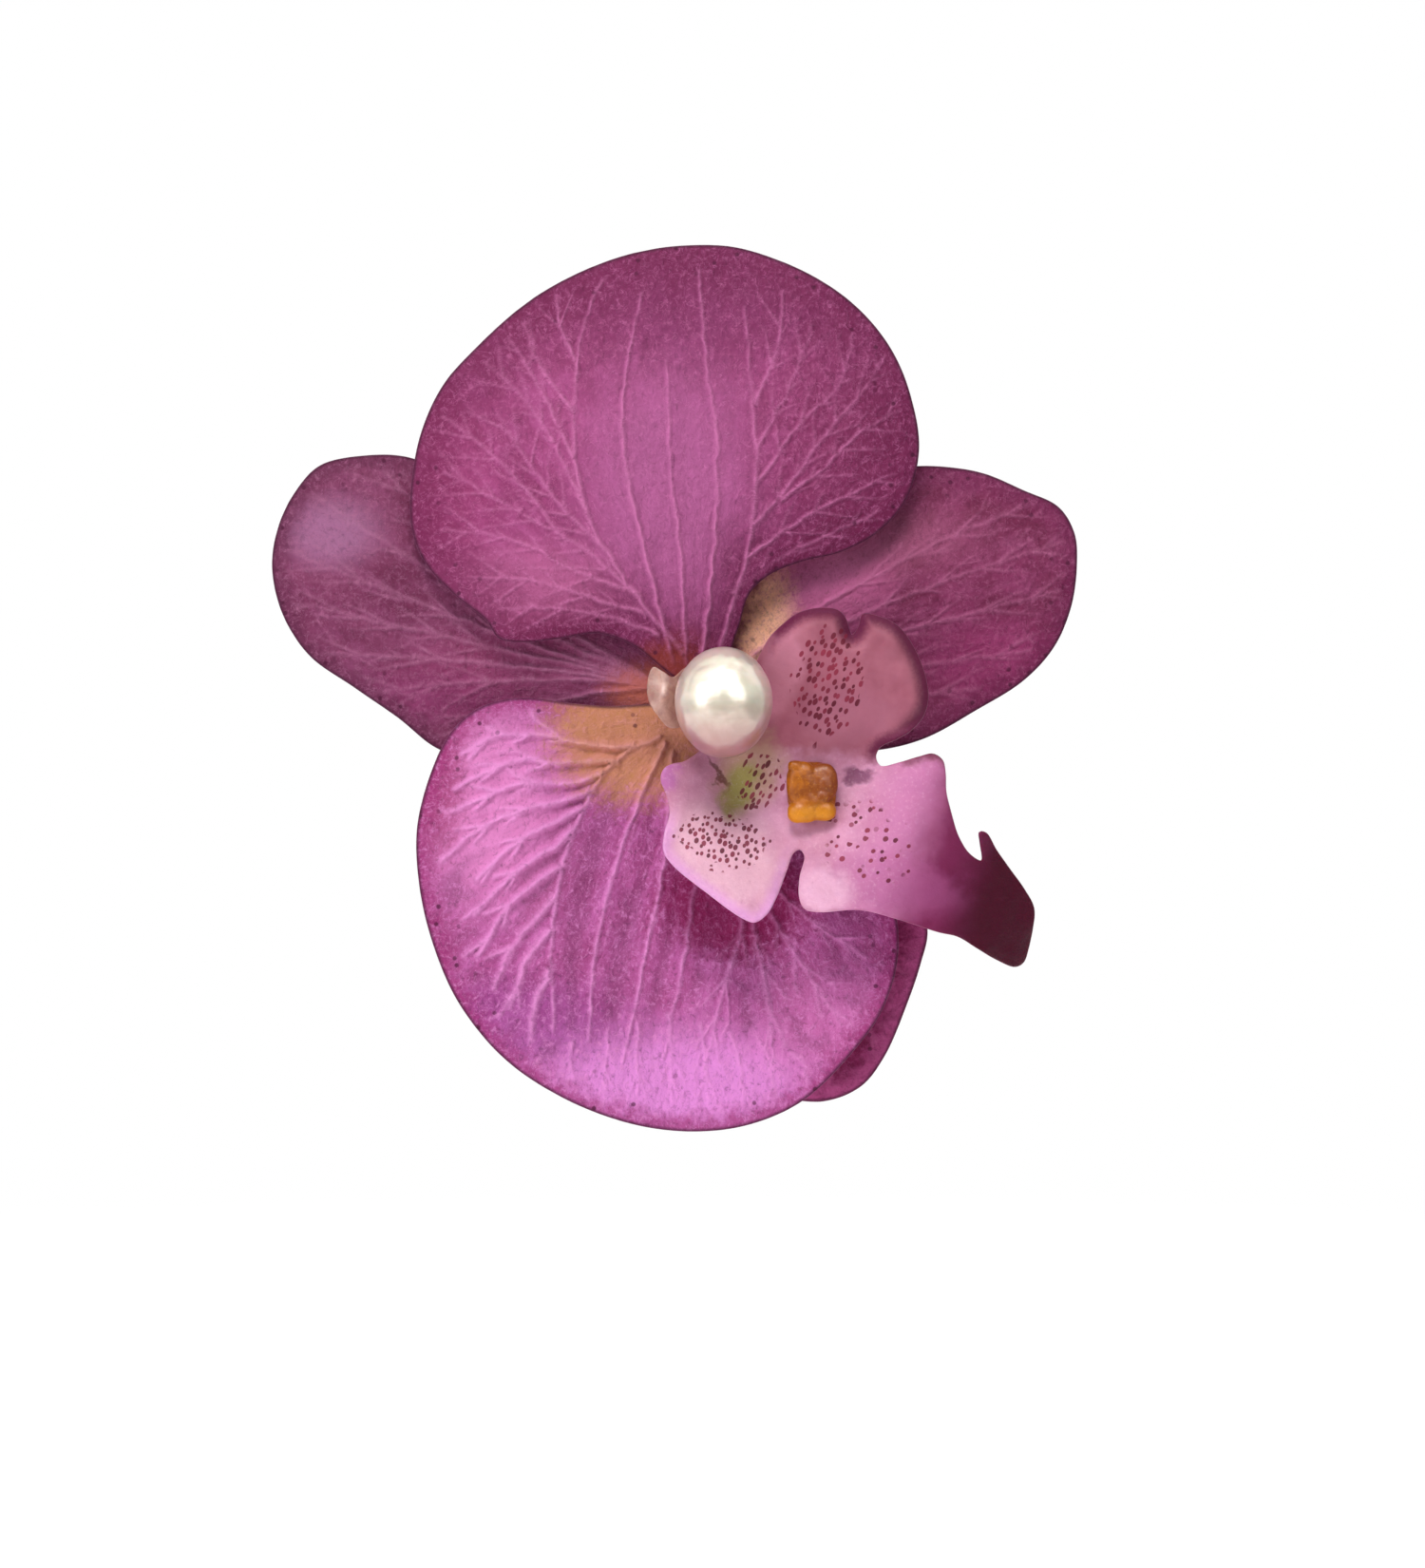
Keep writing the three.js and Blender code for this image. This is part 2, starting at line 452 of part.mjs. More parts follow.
// A jaw, with its ears: side is +1 for the front jaw, -1 for the rear one.
function jaw(side, line, teeth, plan, earX) {
  const place = (points) => points.map(([z, f]) => [z, side * f]);
  const sheet = prismAcross(shapeOf(place(jawProfile(line, teeth))), -6, 6);
  const half = plan.map(([z, w]) => [w, z]);
  const cut = prismForward([...half, ...half.map(([w, z]) => [-w, z]).reverse()], -12, 12);
  let body = solid(sheet).intersect(solid(cut));
  for (const x of [earX, -earX - LUG]) {
    const ear = new THREE.Shape();
    const foot = side * (JAW_MID + 0.2);
    ear.moveTo(PIVOT_Z + 2.7, foot);
    ear.lineTo(PIVOT_Z + LUG_R, 0);
    ear.absarc(PIVOT_Z, 0, LUG_R, 0, -side * Math.PI, side > 0);
    ear.lineTo(PIVOT_Z - 2.7, foot);
    ear.closePath();
    const bore = new THREE.Shape().absarc(PIVOT_Z, 0, PIN_HOLE_R, 0, 2 * Math.PI, false);
    body = body.add(solid(prismAcross(ear, x, x + LUG))).subtract(solid(prismAcross(bore, x - 0.5, x + LUG + 0.5)));
  }
  return body;
}
const STEEL = { color: "#c9ccd1", metalness: 0.9, roughness: 0.3 };
add("front_jaw", jaw(1, FRONT_LINE, FRONT_TEETH, FRONT_PLAN, FRONT_LUG_X), STEEL);
add("rear_jaw", jaw(-1, REAR_LINE, REAR_TEETH, REAR_PLAN, REAR_LUG_X), STEEL);

const pinProfile = [[0, -PIN_END_X], [PIN_HEAD_R - 0.3, -PIN_END_X], [PIN_HEAD_R, -PIN_END_X + 0.25],
  [PIN_HEAD_R, -PIN_HEAD_X], [PIN_R, -PIN_HEAD_X]];
const pin = [...pinProfile, ...pinProfile.map(([r, x]) => [r, -x]).reverse()];
add(
  "hinge_pin",
  new THREE.LatheGeometry(pin.map(([r, x]) => new THREE.Vector2(r, x)), 20).applyMatrix4(SPIN_ACROSS).translate(0, 0, PIVOT_Z),
  STEEL,
);

// Torsion spring: a close coil round the pin whose two arms press the tails apart.
const coil = [];
const full = SPRING.turns * 2 * Math.PI;
coil.push(new THREE.Vector3(-SPRING.half, -SPRING.coil, PIVOT_Z + SPRING.arm));
coil.push(new THREE.Vector3(-SPRING.half, -SPRING.coil, PIVOT_Z + SPRING.arm * 0.5));
for (let i = 0; i <= SPRING.turns * 12; i++) {
  const t = i / (SPRING.turns * 12);
  const angle = t * full;
  coil.push(
    new THREE.Vector3(
      -SPRING.half + 2 * SPRING.half * t,
      -SPRING.coil * Math.cos(angle),
      PIVOT_Z - SPRING.coil * Math.sin(angle),
    ),
  );
}
coil.push(new THREE.Vector3(SPRING.half, SPRING.coil, PIVOT_Z + SPRING.arm * 0.5));
coil.push(new THREE.Vector3(SPRING.half, SPRING.coil, PIVOT_Z + SPRING.arm));
const wire = new THREE.Shape().absarc(0, 0, SPRING.wire, 0, 2 * Math.PI, false);
add(
  "torsion_spring",
  new THREE.ExtrudeGeometry(wire, {
    steps: Math.round(coil.length * 1.4),
    curveSegments: 3,
    bevelEnabled: false,
    extrudePath: new THREE.CatmullRomCurve3(coil, false, "centripetal"),
  }),
  { color: "#b9bcc2", metalness: 0.9, roughness: 0.35 },
);

export default group;
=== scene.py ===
"""Looks of the flower hair clip: an artificial moth orchid with a pearl, glued to a sprung metal clip.

Shapes are written in millimetres as seen from the front, x to the right and z up, and "forward" is the
distance towards -Y. Each outline is fitted to the box of the CAD node it stands for.
"""
import json
import math
import random

import bmesh
import bpy
import numpy as np
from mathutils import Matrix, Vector, geometry, kdtree


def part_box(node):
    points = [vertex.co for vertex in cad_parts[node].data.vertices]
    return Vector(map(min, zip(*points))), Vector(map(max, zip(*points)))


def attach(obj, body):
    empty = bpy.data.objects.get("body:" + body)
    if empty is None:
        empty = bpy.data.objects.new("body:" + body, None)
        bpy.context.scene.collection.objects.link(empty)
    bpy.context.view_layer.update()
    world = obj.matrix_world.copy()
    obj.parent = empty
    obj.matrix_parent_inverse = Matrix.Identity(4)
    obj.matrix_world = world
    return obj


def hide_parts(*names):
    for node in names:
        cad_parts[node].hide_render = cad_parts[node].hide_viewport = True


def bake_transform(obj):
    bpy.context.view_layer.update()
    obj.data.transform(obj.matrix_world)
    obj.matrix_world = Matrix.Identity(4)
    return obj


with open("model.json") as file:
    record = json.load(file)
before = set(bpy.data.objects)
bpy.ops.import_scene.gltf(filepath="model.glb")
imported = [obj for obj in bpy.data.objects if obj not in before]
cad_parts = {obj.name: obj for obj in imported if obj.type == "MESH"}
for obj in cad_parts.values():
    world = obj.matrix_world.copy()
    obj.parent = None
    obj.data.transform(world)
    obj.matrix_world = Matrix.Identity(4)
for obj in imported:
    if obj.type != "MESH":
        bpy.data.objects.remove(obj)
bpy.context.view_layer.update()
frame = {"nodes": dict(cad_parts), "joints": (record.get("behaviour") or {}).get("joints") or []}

MM = 0.001
SMALLEST_SHEET = 10      # lay_flat compares a piece's narrower side, in millimetres, with this
BLOOM, REAR = "bloom_and_front_jaw", "rear_jaw"
scene = bpy.context.scene

# ------------------------------------------------------------------ outlines and depths, as in the CAD
TOP_PETAL = dict(
    node="petal_top", centre=(-3.5, 25),
    outline=[
        (4.1, 7.8), (5.1, 11), (7, 12.9), (10.2, 14.3), (14.6, 15.4), (18.1, 17.3), (21, 20.5),
        (22.4, 25.6), (21.7, 30.6), (19.7, 35.7), (16.5, 39.8), (12.7, 42.7), (8.3, 44.9), (3.8, 46.3),
        (-1, 46.5), (-6, 45.8), (-11.4, 44), (-17.1, 40.8), (-22.2, 36.3), (-26, 32), (-28.2, 27),
        (-29.2, 20.5), (-28.9, 17), (-27.6, 14.1), (-24.7, 11), (-21.5, 8.4), (-20.2, 6.6), (-17.7, 6.2),
        (-13.9, 6.6), (-10.1, 7.1), (-6.4, 5.8), (-3.6, 3.6), (-1.4, 2.1), (0.6, 2.1), (2.4, 3.6)],
    landmarks=[
        (0, 3, 9.0), (-7, 7.4, 10.0), (3.6, 8.5, 9.8), (-20, 7, 10.4), (-29, 19, 10.2), (-26, 31.5, 10.2),
        (-17, 40.5, 9.8), (-1, 46.4, 9.2), (12.5, 42.5, 9.6), (21, 32, 10.0), (22, 24, 10.0),
        (18, 17.5, 10.4), (8, 13.8, 10.6), (-2, 12, 11.6), (-14, 15, 12.4), (-20, 24, 12.6), (-3, 25, 13.2),
        (13, 25, 12.7), (-10, 35, 12.5), (8, 35, 12.3)],
)
BOTTOM_PETAL = dict(
    node="petal_bottom", centre=(-4, -22),
    outline=[
        (-2.3, -0.4), (-4.3, -0.1), (-9, -0.3), (-13, 0), (-17, 0.5), (-19.9, 0.3), (-22.6, -0.7),
        (-25, -2.9), (-26.9, -6.7), (-28.4, -12.5), (-28.2, -18.3), (-26.9, -24), (-24.3, -30),
        (-19.7, -35.6), (-13.9, -39.5), (-7.2, -42.1), (-1.4, -43), (4.3, -42.5), (10.1, -40.2),
        (14.9, -35.8), (18.6, -30.8), (20.2, -25), (19.4, -19.6), (15.6, -14.6), (10.4, -11), (5.6, -7.6),
        (2.2, -4.4), (-0.4, -2.6)],
    landmarks=[
        (-2.2, -1.6, 9.0), (-12, -0.2, 9.5), (-20, 0, 9.9), (-26.5, -6, 10.6), (-28.2, -15, 10.8),
        (-26.5, -24.5, 10.8), (-20, -35.2, 12.4), (-7, -42, 13.4), (4, -42.4, 13.5), (14.8, -35.6, 12.8),
        (20, -25, 11.2), (16.5, -16, 9.8), (6, -8, 9.2), (-14, -9, 11.4), (-19, -16, 11.8), (-6, -14, 10.2),
        (5, -17, 9.7), (-12, -27, 10.9), (0, -28, 10.1), (10, -27, 10.3), (-1, -37, 11.1)],
)
SEPAL_LEFT = dict(
    node="sepal_left", centre=(-25, 11),
    outline=[
        (-2.1, 2.4), (-3.8, 6.6), (-9, 12.4), (-17, 18.6), (-25, 23), (-29.6, 25.2), (-34.2, 25.4),
        (-38.7, 24.4), (-41.3, 21.6), (-43, 18), (-43.6, 14), (-42.6, 9.4), (-39.8, 5), (-35.3, 1.8),
        (-30.8, -1.3), (-26.5, -4.6), (-22, -5.4), (-16, -3.8), (-10, -1.6), (-5, -0.5), (-2.3, -0.2)],
    landmarks=[
        (-2.5, 0.7, 7.6), (-12, 4.5, 7.7), (-24, 10, 8.1), (-34, 14, 8.6), (-43, 15.5, 6.7),
        (-35, 24.8, 6.5), (-22, 20.5, 6.9), (-12, 11.2, 7.2), (-39, 4.8, 6.3), (-29, -2.4, 6.3),
        (-20, -4.8, 6.7), (-10, -1.4, 7.2)],
)
SEPAL_RIGHT = dict(
    node="sepal_right", centre=(22, 10),
    outline=[
        (2.3, -0.2), (6, -2.8), (12, -4.8), (18.3, -4.7), (23.1, -3.5), (28.4, -0.6), (33.2, 2.4),
        (36.3, 5.8), (38, 9.8), (38.6, 14), (38.4, 17.4), (36.8, 20.1), (33.2, 21.8), (29.3, 23.5),
        (25.5, 24.2), (21.5, 24.2), (15, 22.4), (9.4, 18.6), (5.2, 13), (2.9, 6.6), (2, 2)],
    landmarks=[
        (2.3, 0.8, 7.6), (9, 4.5, 7.8), (19, 9, 8.2), (29, 13, 8.5), (38.4, 15, 7.2), (33.5, 21.6, 6.6),
        (24, 23.8, 6.5), (13, 18.6, 6.9), (5, 8, 7.3), (12, -4.6, 7.0), (22, -3.7, 6.7), (33, 2.4, 6.6)],
)
SEPAL_LOWER = dict(
    node="sepal_lower", centre=(11.5, -24),
    outline=[
        (-0.2, -2.3), (-1.2, -7), (-1.8, -14), (-1.4, -21), (0.2, -28), (2.8, -34), (5.8, -38.6),
        (9.1, -40.2), (13, -40.5), (16.6, -39), (18.9, -36.1), (21.2, -30.8), (22.7, -26.3), (23.4, -22.8),
        (21.6, -17.6), (17, -12.6), (11, -8.2), (5.6, -4.6), (1.8, -2.2)],
    landmarks=[
        (0.9, -2.5, 7.6), (4.5, -10, 7.8), (10, -22, 8.0), (14, -33, 7.7), (12, -40.4, 6.8), (21, -31, 7.0),
        (23.2, -22.5, 7.1), (15, -11, 7.1), (-1.5, -17, 7.0), (1.5, -31, 6.8)],
)
ANTHER_CAP = dict(
    node="anther_cap", centre=(-2.9, 0.6),
    outline=[
        (-4.5, 3.5), (-5.1, 1.5), (-4.8, -0.1), (-4, -1.3), (-2.8, -2.5), (-1.4, -2.2), (-0.9, -0.6),
        (-0.9, 1.6), (-0.7, 3.7), (-1.5, 3.3), (-2.5, 2.5), (-3.4, 3)],
    landmarks=[
        (-4.5, 3.4, 14.2), (-5, 1, 13.8), (-3.6, 0.6, 14.9), (-2.8, -2.4, 14.0), (-1.2, -1.8, 12.7),
        (-1, 0.6, 12.6), (-0.8, 3.5, 12.9)],
)
LIP = dict(
    node="lip",
    outline=[
        (4.9, 1.5), (5.5, 3.2), (6.3, 4.9), (7.2, 6.5), (8.5, 7.8), (10, 8.9), (12, 9.4), (14, 9.2),
        (14.7, 8.5), (15.4, 6.7), (16.1, 7.6), (16.5, 8.8), (18, 8.6), (20, 7.6), (21.5, 5.6), (22.6, 3),
        (23, 0.6), (22.6, -1.2), (21.5, -2.6), (20, -3.6), (18.3, -4.4), (17.8, -5.4), (18.3, -6.4),
        (20, -6.1), (22, -5.5), (23.4, -5.2), (24.3, -5.8), (24.6, -7), (24.7, -9), (25.2, -11),
        (26, -13.4), (27.2, -15.2), (28.5, -15.9), (28.3, -14), (28.2, -13), (28.9, -13.1), (30, -14.8),
        (31.5, -16.8), (33, -18.8), (34.1, -20.8), (34, -22.8), (33.6, -25), (33.1, -26.3), (32.2, -26.7),
        (30, -25.8), (28, -24.6), (26, -23.4), (24, -22.9), (20, -21.6), (16, -20.6), (12, -20.8),
        (10.6, -20.5), (10.1, -19.4), (10.2, -17.4), (10.7, -15.4), (10.2, -14.7), (9.5, -15.1),
        (8.8, -16.8), (8, -18.8), (6.8, -21), (5.6, -21.8), (4.4, -21.4), (1, -19), (-2.6, -16.1),
        (-3.4, -14.8), (-3.3, -13), (-2.8, -11.2), (-3, -9.6), (-3.7, -7.6), (-3.3, -6.6), (-2.5, -6.2),
        (-1.5, -6), (-0.2, -5.2), (0.8, -4.3), (2.6, -3.5), (4.1, -2.3), (4.8, -0.6)],
    landmarks=[
        (2.4, -3.7, 10.9), (5, 0, 11.7), (6.6, 4.6, 13.8), (9.5, -2, 13.2), (9.5, 6.5, 15.6),
        (12.5, 9.2, 15.6), (18, 8.4, 15.8), (22.6, 2, 15.8), (21, -3, 14.9), (15, 3, 15.7), (13, -3, 13.9),
        (16, -7.2, 12.4), (18, -5.4, 13.4), (4, -9.5, 10.9), (3.2, -6.6, 11.0), (6.5, -8, 11.6),
        (-0.2, -7.2, 13.2), (11, -9.2, 12.6), (9.3, -13.6, 13.2), (-3.4, -7.4, 14.6), (-3, -13.5, 15.2),
        (2, -14, 14.6), (-1, -17.4, 17.2), (5.6, -21.6, 19.4), (7.8, -17.5, 16.6), (12.5, -14, 13.8),
        (10.6, -19.6, 17.8), (16, -20.4, 17.9), (22, -22.2, 16.4), (19, -12, 15.3), (24.2, -6.2, 16.6),
        (25.4, -12, 15.6), (28.5, -15.2, 13.0), (28.5, -24.7, 12.6), (33.9, -21.5, 8.4),
        (32.6, -26.3, 8.6)],
)


# ------------------------------------------------------------------ curves and surfaces
def smooth_line(points, steps, closed=True):
    """A centripetal Catmull-Rom curve through the points, as an array of [x, z]."""
    p = np.array(points, float)
    n = len(p)
    if not closed:
        p = np.vstack([2 * p[0] - p[1], p, 2 * p[-1] - p[-2]])
    spans = range(n) if closed else range(n - 1)
    out = []
    for i in spans:
        q = [p[(i + k) % n] for k in (-1, 0, 1, 2)] if closed else p[i:i + 4]
        d = [max(1e-6, math.sqrt(np.linalg.norm(q[k + 1] - q[k]))) for k in range(3)]
        m1 = ((q[1] - q[0]) / d[0] - (q[2] - q[0]) / (d[0] + d[1]) + (q[2] - q[1]) / d[1]) * d[1]
        m2 = ((q[2] - q[1]) / d[1] - (q[3] - q[1]) / (d[1] + d[2]) + (q[3] - q[2]) / d[2]) * d[1]
        for k in range(steps):
            t = k / steps
            out.append((2 * t**3 - 3 * t**2 + 1) * q[1] + (t**3 - 2 * t**2 + t) * m1
                       + (3 * t**2 - 2 * t**3) * q[2] + (t**3 - t**2) * m2)
    if not closed:
        out.append(p[-2])
    return np.array(out)


def surface_through(landmarks):
    """A thin-plate surface through the landmarks: forward distance from arrays of x and z."""
    p = np.array(landmarks, float)
    n = len(p)

    def bend(dx, dz):
        q = dx * dx + dz * dz
        return 0.5 * q * np.log(np.maximum(q, 1e-12))

    a = np.zeros((n + 3, n + 3))
    a[:n, :n] = bend(p[:, None, 0] - p[None, :, 0], p[:, None, 1] - p[None, :, 1])
    a[:n, n], a[:n, n + 1:n + 3] = 1, p[:, :2]
    a[n:, :n] = a[:n, n:].T
    w = np.linalg.solve(a, np.r_[p[:, 2], 0, 0, 0])

    def at(x, z):
        x, z = np.asarray(x, float), np.asarray(z, float)
        f = w[n] + w[n + 1] * x + w[n + 2] * z
        for k in range(n):
            f = f + w[k] * bend(x - p[k, 0], z - p[k, 1])
        return f

    return at


def box_mm(node):
    """The lowest and highest corner of a CAD node's box, in millimetres."""
    return [np.array(corner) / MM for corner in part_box(node)]


def fitted(shape):
    """The shape's outline, moved and stretched to fill the width and height of its CAD node's box."""
    low, high = (corner[[0, 2]] for corner in box_mm(shape["node"]))
    line = smooth_line(shape["outline"], 8)
    a, b = line.min(axis=0), line.max(axis=0)
    return low + (line - a) * (high - low) / (b - a)


def ripple(x, z, size, seed, octaves=2):
    """Smooth seeded noise about 0, whose lumps are size millimetres across."""
    rng = np.random.default_rng(seed)
    total = np.zeros_like(np.asarray(x, float))
    for o in range(octaves):
        table = rng.uniform(-1, 1, (64, 64))
        u, v = np.asarray(x) / size * 2**o + 17.3 * (o + 1), np.asarray(z) / size * 2**o + 5.1
        iu, iv = np.floor(u).astype(int), np.floor(v).astype(int)
        fu, fv = u - iu, v - iv
        fu, fv = fu**3 * (fu * (fu * 6 - 15) + 10), fv**3 * (fv * (fv * 6 - 15) + 10)

        def row(b):
            return table[iu % 64, (iv + b) % 64] * (1 - fu) + table[(iu + 1) % 64, (iv + b) % 64] * fu

        total += (row(0) * (1 - fv) + row(1) * fv) * 0.5**o
    return total


def step(low, high, value):
    """0 below low, 1 above high, smooth in between."""
    t = np.clip((value - low) / (high - low), 0, 1)
    return t * t * (3 - 2 * t)


# ------------------------------------------------------------------ veins
class Veins:
    """A seeded tree of veins in a petal's x, z plane. A branch stops before it meets another line."""
    STEP, CELL = 0.25, 0.85

    def __init__(self, inside, seed):
        self.inside, self.rng = inside, random.Random(seed)
        self.samples, self.taken, self.count = [], {}, 0

    def keep(self, line, wide, high, fade):
        self.count += 1
        length = max(1, len(line) - 1)
        along, here = np.arange(len(line)) * self.STEP, np.full(len(line), self.count * 2.3)
        uneven = 1 + 0.3 * ripple(along, here, 1.3, 93)
        for k, (x, z) in enumerate(line):
            share = 1 - fade * k / length
            self.samples.append((x, z, wide * (0.5 + 0.5 * share), high * share * uneven[k]))
            self.taken[self.cell(x, z)] = self.count
        return self.count

    def cell(self, x, z):
        return round(x / self.CELL), round(z / self.CELL)

    def main(self, guide, wide, high, left=0.0, right=0.0, start=4.0, gap=3.2, angle=42):
        """A main vein through the guide's points, with side branches. left and right are lengths in mm."""
        line = smooth_line(guide, 24, closed=False)
        span = np.r_[0, np.cumsum(np.linalg.norm(np.diff(line, axis=0), axis=1))]
        even = np.arange(0, span[-1], self.STEP)
        line = np.stack([np.interp(even, span, line[:, 0]), np.interp(even, span, line[:, 1])], 1)
        here = np.full_like(even, self.count * 3.7)
        line += np.stack([ripple(even, here, 1.6, 91), ripple(even, here, 1.6, 92)], 1) * 0.13
        line = np.array([p for p in line if self.inside(*p)])
        me = self.keep(line, wide, high, 0.55)
        for side, length in ((1, left), (-1, right)):
            if not length:
                continue
            s = start + self.rng.uniform(0, 1)
            while s < len(line) * self.STEP - 1.5:
                k = int(s / self.STEP)
                ahead = line[min(k + 3, len(line) - 1)] - line[max(k - 3, 0)]
                turn = side * math.radians(angle + self.rng.uniform(-7, 7))
                self.branch(line[k], math.atan2(ahead[1], ahead[0]) + turn,
                            length * self.rng.uniform(0.8, 1.1), side, wide * 0.72, high * 0.72, me, 1)
                s += gap * self.rng.uniform(0.8, 1.3)

    def branch(self, start, heading, length, side, wide, high, parent, level):
        x, z = start
        line, turns = [(x, z)], []
        curl = -side * self.rng.uniform(0.004, 0.03)
        next_fork = self.rng.uniform(2.2, 3.6)
        for k in range(int(length / self.STEP)):
            heading += curl * self.STEP + self.rng.gauss(0, 0.022)
            x, z = x + math.cos(heading) * self.STEP, z + math.sin(heading) * self.STEP
            if not self.inside(x, z):
                break
            owner = self.taken.get(self.cell(x, z))
            if k > 4 and owner is not None and owner != parent:
                break
            line.append((x, z))
            if k * self.STEP > next_fork:
                turns.append((x, z, heading))
                next_fork += self.rng.uniform(2.0, 3.6)
        if len(line) < 6:
            return
        me = self.keep(line, wide, high, 0.6)
        if level < 3:
            flip = self.rng.choice((-1, 1))
            for x, z, h in turns:
                flip = -flip
                turn = flip * math.radians(self.rng.uniform(26, 42))
                self.branch((x, z), h + turn, length * self.rng.uniform(0.35, 0.6), flip,
                            wide * 0.75, high * 0.7, me, level + 1)

    def near(self, x, z):
        """Distance to the nearest vein, and that vein's half width and height there, for each point."""
        tree = kdtree.KDTree(len(self.samples))
        for i, s in enumerate(self.samples):
            tree.insert((s[0], s[1], 0), i)
        tree.balance()
        data = np.array(self.samples)
        found = [tree.find((a, b, 0))[1:] for a, b in zip(x, z)]
        index = np.array([f[0] for f in found])
        return np.array([f[1] for f in found]), data[index, 2], data[index, 3]


# ------------------------------------------------------------------ mesh building
def link(name, data):
    """A new object in the scene that shows a mesh, a lamp or a camera."""
    obj = bpy.data.objects.new(name, data)
    scene.collection.objects.link(obj)
    return obj


def shade_smooth(mesh):
    mesh.polygons.foreach_set("use_smooth", [True] * len(mesh.polygons))


def closed_mesh(name, points, faces):
    """A smooth object from points in millimetres, with its faces turned outwards."""
    mesh = bpy.data.meshes.new(name)
    mesh.from_pydata([tuple(p) for p in np.array(points) * MM], [], faces)
    mesh.validate()
    mesh.update()
    shade_smooth(mesh)
    bm = bmesh.new()
    bm.from_mesh(mesh)
    bmesh.ops.recalc_face_normals(bm, faces=bm.faces)
    bm.to_mesh(mesh)
    bm.free()
    return link(name, mesh)


def stand_in(obj, node):
    """Puts an object in the place of a CAD node, and lets it move with the bloom."""
    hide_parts(node)
    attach(obj, BLOOM)
    return obj


def store(obj, **values):
    """Keeps one number per vertex for the material, as a named attribute."""
    for name, value in values.items():
        attribute = obj.data.attributes.new(name, "FLOAT", "POINT")
        attribute.data.foreach_set("value", np.asarray(value, np.float32))


def tube_faces(rings, spokes):
    """The faces between rings of points, each ring with the same number of spokes."""
    return [(a + j, a + spokes + j, a + spokes + (j + 1) % spokes, a + (j + 1) % spokes)
            for a in range(0, (rings - 1) * spokes, spokes) for j in range(spokes)]


def disc_grid(cells):
    """Radius and angle of a square grid that is stretched to a disc."""
    g = np.linspace(-1, 1, cells + 1)
    a, b = np.meshgrid(g, g, indexing="ij")
    wide = a * a > b * b
    r = np.where(wide, a, b)
    safe = np.where(np.abs(r) < 1e-9, 1, r)
    angle = np.where(wide, math.pi / 4 * (b / safe), math.pi / 2 - math.pi / 4 * (a / safe))
    return np.abs(r), np.where(r < 0, angle + math.pi, angle)


def grid_faces(n, base, flip=False):
    """The faces of an n by n grid of points that starts at index base."""
    corners = [base + i * n + j for i in range(n - 1) for j in range(n - 1)]
    faces = [(a, a + n, a + n + 1, a + 1) for a in corners]
    return [face[::-1] for face in faces] if flip else faces


def grid_rim(n):
    """The outer points of an n by n grid, in order round it."""
    last = n - 1
    return ([i * n for i in range(last)] + [last * n + j for j in range(last)]
            + [i * n + last for i in range(last, 0, -1)] + list(range(last, 0, -1)))


def edge_band(ring, back_ring, start):
    """The cut edge of a sheet: faces from the front's rim to a middle line, whose points start at index
    start, and on to the back's rim, which may have fewer points."""
    m, share = len(ring), len(ring) // len(back_ring)
    faces = [(a, start + k, start + (k + 1) % m, ring[(k + 1) % m]) for k, a in enumerate(ring)]
    for k, a in enumerate(back_ring):
        middle = [start + (share * k + i) % m for i in range(share, 0, -1)]
        faces.append((start + share * k, a, back_ring[(k + 1) % len(back_ring)], *middle))
    return faces


def edge_middle(front, back, out_x, out_z, bulge):
    """The middle line of a cut edge: halfway between the two rims, and pushed outwards by bulge."""
    middle = (front + back) / 2
    middle[:, 0] += out_x * bulge
    middle[:, 2] += out_z * bulge
    return middle


class Blade:
    """A petal's plan: its fitted rim, and how far the rim is from the centre in each direction."""

    def __init__(self, shape):
        self.rim = fitted(shape)
        self.centre = np.array(shape["centre"], float)
        away = self.rim - self.centre
        angle = np.arctan2(away[:, 1], away[:, 0])
        order = np.argsort(angle)
        self.angle, self.far = angle[order], np.linalg.norm(away, axis=1)[order]

    def reach(self, angle):
        return np.interp(angle, self.angle, self.far, period=2 * math.pi)

    def inside(self, x, z):
        """Whether a point is more than half a millimetre inside the rim."""
        dx, dz = x - self.centre[0], z - self.centre[1]
        return math.hypot(dx, dz) < self.reach(math.atan2(dz, dx)) - 0.5


